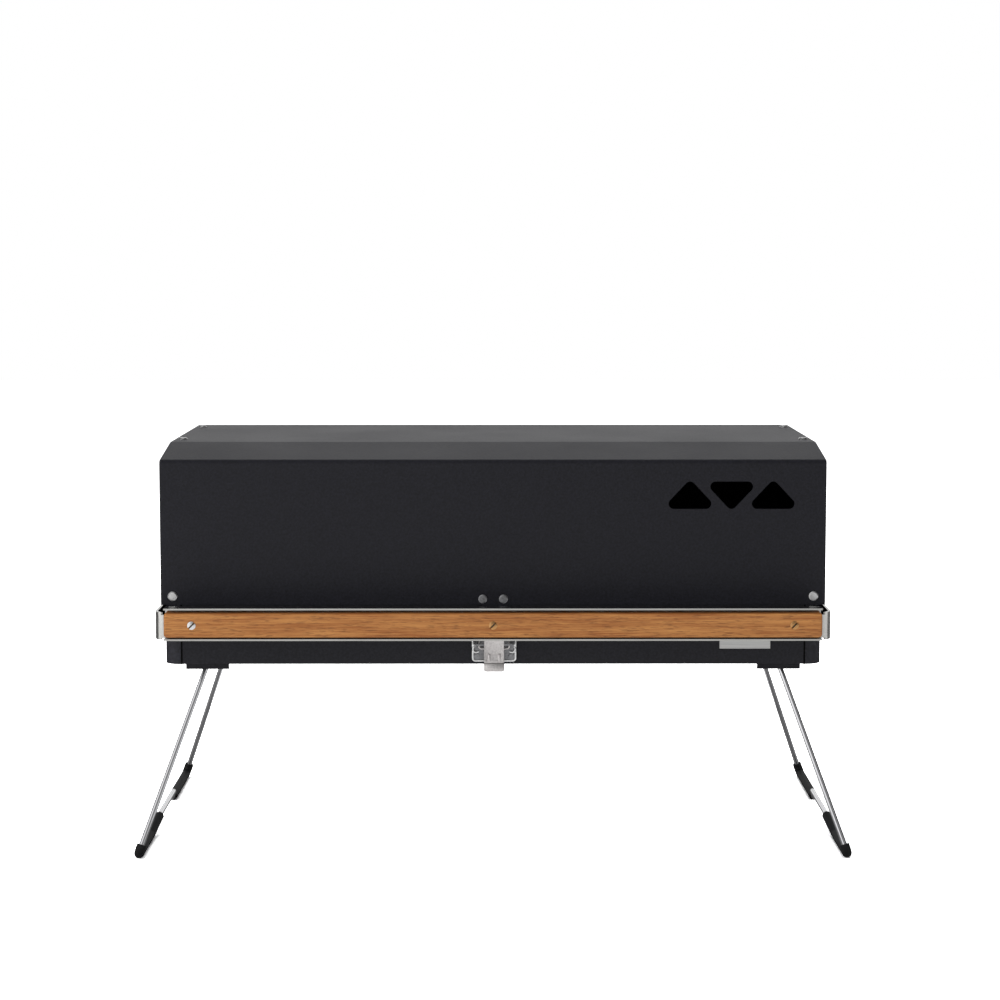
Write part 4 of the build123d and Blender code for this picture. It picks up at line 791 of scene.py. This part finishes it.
# Degrees from straight in front, minus to the left, and how bright the wall is there.
wall_levels = (
    (-155, 1.0), (-140, 0.03), (-88, 0.03), (-76, 1.4), (-26, 1.4), (-12, 0.5), (8, 0.28),
    (34, 0.16), (44, 0.6), (58, 0.6), (68, 0.02), (140, 0.02), (155, 1.0))
world = bpy.data.worlds.new("studio_surround")
bpy.context.scene.world = world
world.use_nodes = True
world.node_tree.nodes.clear()
air = world.node_tree
way = add(air, "ShaderNodeTexCoord").outputs["Generated"]
facing = add(air, "ShaderNodeSeparateXYZ", {"Vector": way})
towards_front = add(air, "ShaderNodeMath", {
    0: facing.outputs["Y"], 1: -1.0}, operation="MULTIPLY")
round_way = add(air, "ShaderNodeMath", {
    0: facing.outputs["X"], 1: towards_front.outputs["Value"]}, operation="ARCTAN2")
turn = add(air, "ShaderNodeMapRange", {
    "Value": round_way.outputs["Value"], "From Min": -pi, "From Max": pi})
walls = add(air, "ShaderNodeValToRGB", {"Fac": turn.outputs["Result"]})
stops = walls.color_ramp.elements
stops[0].color = grey(1.0)
for degrees_round, level in wall_levels:
    stops.new(degrees_round / 360 + 0.5).color = grey(level)
ceiling = add(air, "ShaderNodeMapRange", {
    "Value": facing.outputs["Z"], "From Min": 0.25, "From Max": 0.65,
    "To Min": 0.93, "To Max": 0.52})
room = add(air, "ShaderNodeMix", {
    "Factor": 1.0, "A": walls.outputs["Color"], "B": ceiling.outputs["Result"]},
    data_type="RGBA", blend_type="MULTIPLY")
rays = add(air, "ShaderNodeLightPath")
lit_level = add(air, "ShaderNodeMix", {
    "Factor": rays.outputs["Is Glossy Ray"], "A": grey(room_light),
    "B": room.outputs["Result"]}, data_type="RGBA")
straight = add(air, "ShaderNodeMath", {
    0: rays.outputs["Is Camera Ray"], 1: rays.outputs["Is Transmission Ray"]},
    operation="MAXIMUM")
seen_level = add(air, "ShaderNodeMix", {
    "Factor": straight.outputs["Value"], "A": lit_level.outputs["Result"],
    "B": grey(1.0)}, data_type="RGBA")
backdrop = add(air, "ShaderNodeBackground", {"Color": seen_level.outputs["Result"]})
add(air, "ShaderNodeOutputWorld", {"Surface": backdrop.outputs["Background"]})
bpy.context.scene.view_settings.view_transform = "Standard"

# Camera: in front of the middle of the grill, a little above it and looking slightly down,
# worked out from where the lid, the slat and the feet lie in the photo.
sight_down, sight_turn = 4.909, -0.1554
camera_data = bpy.data.cameras.new("camera")
camera_data.lens = 84.372
camera_data.sensor_width = 36.0
camera_data.shift_y = -0.05
camera = bpy.data.objects.new("camera", camera_data)
bpy.context.scene.collection.objects.link(camera)
camera.location = (0.00042, -1.7682, 0.43723)
camera.rotation_euler = (radians(90.0 - sight_down), 0.0, radians(sight_turn))
bpy.context.scene.camera = camera
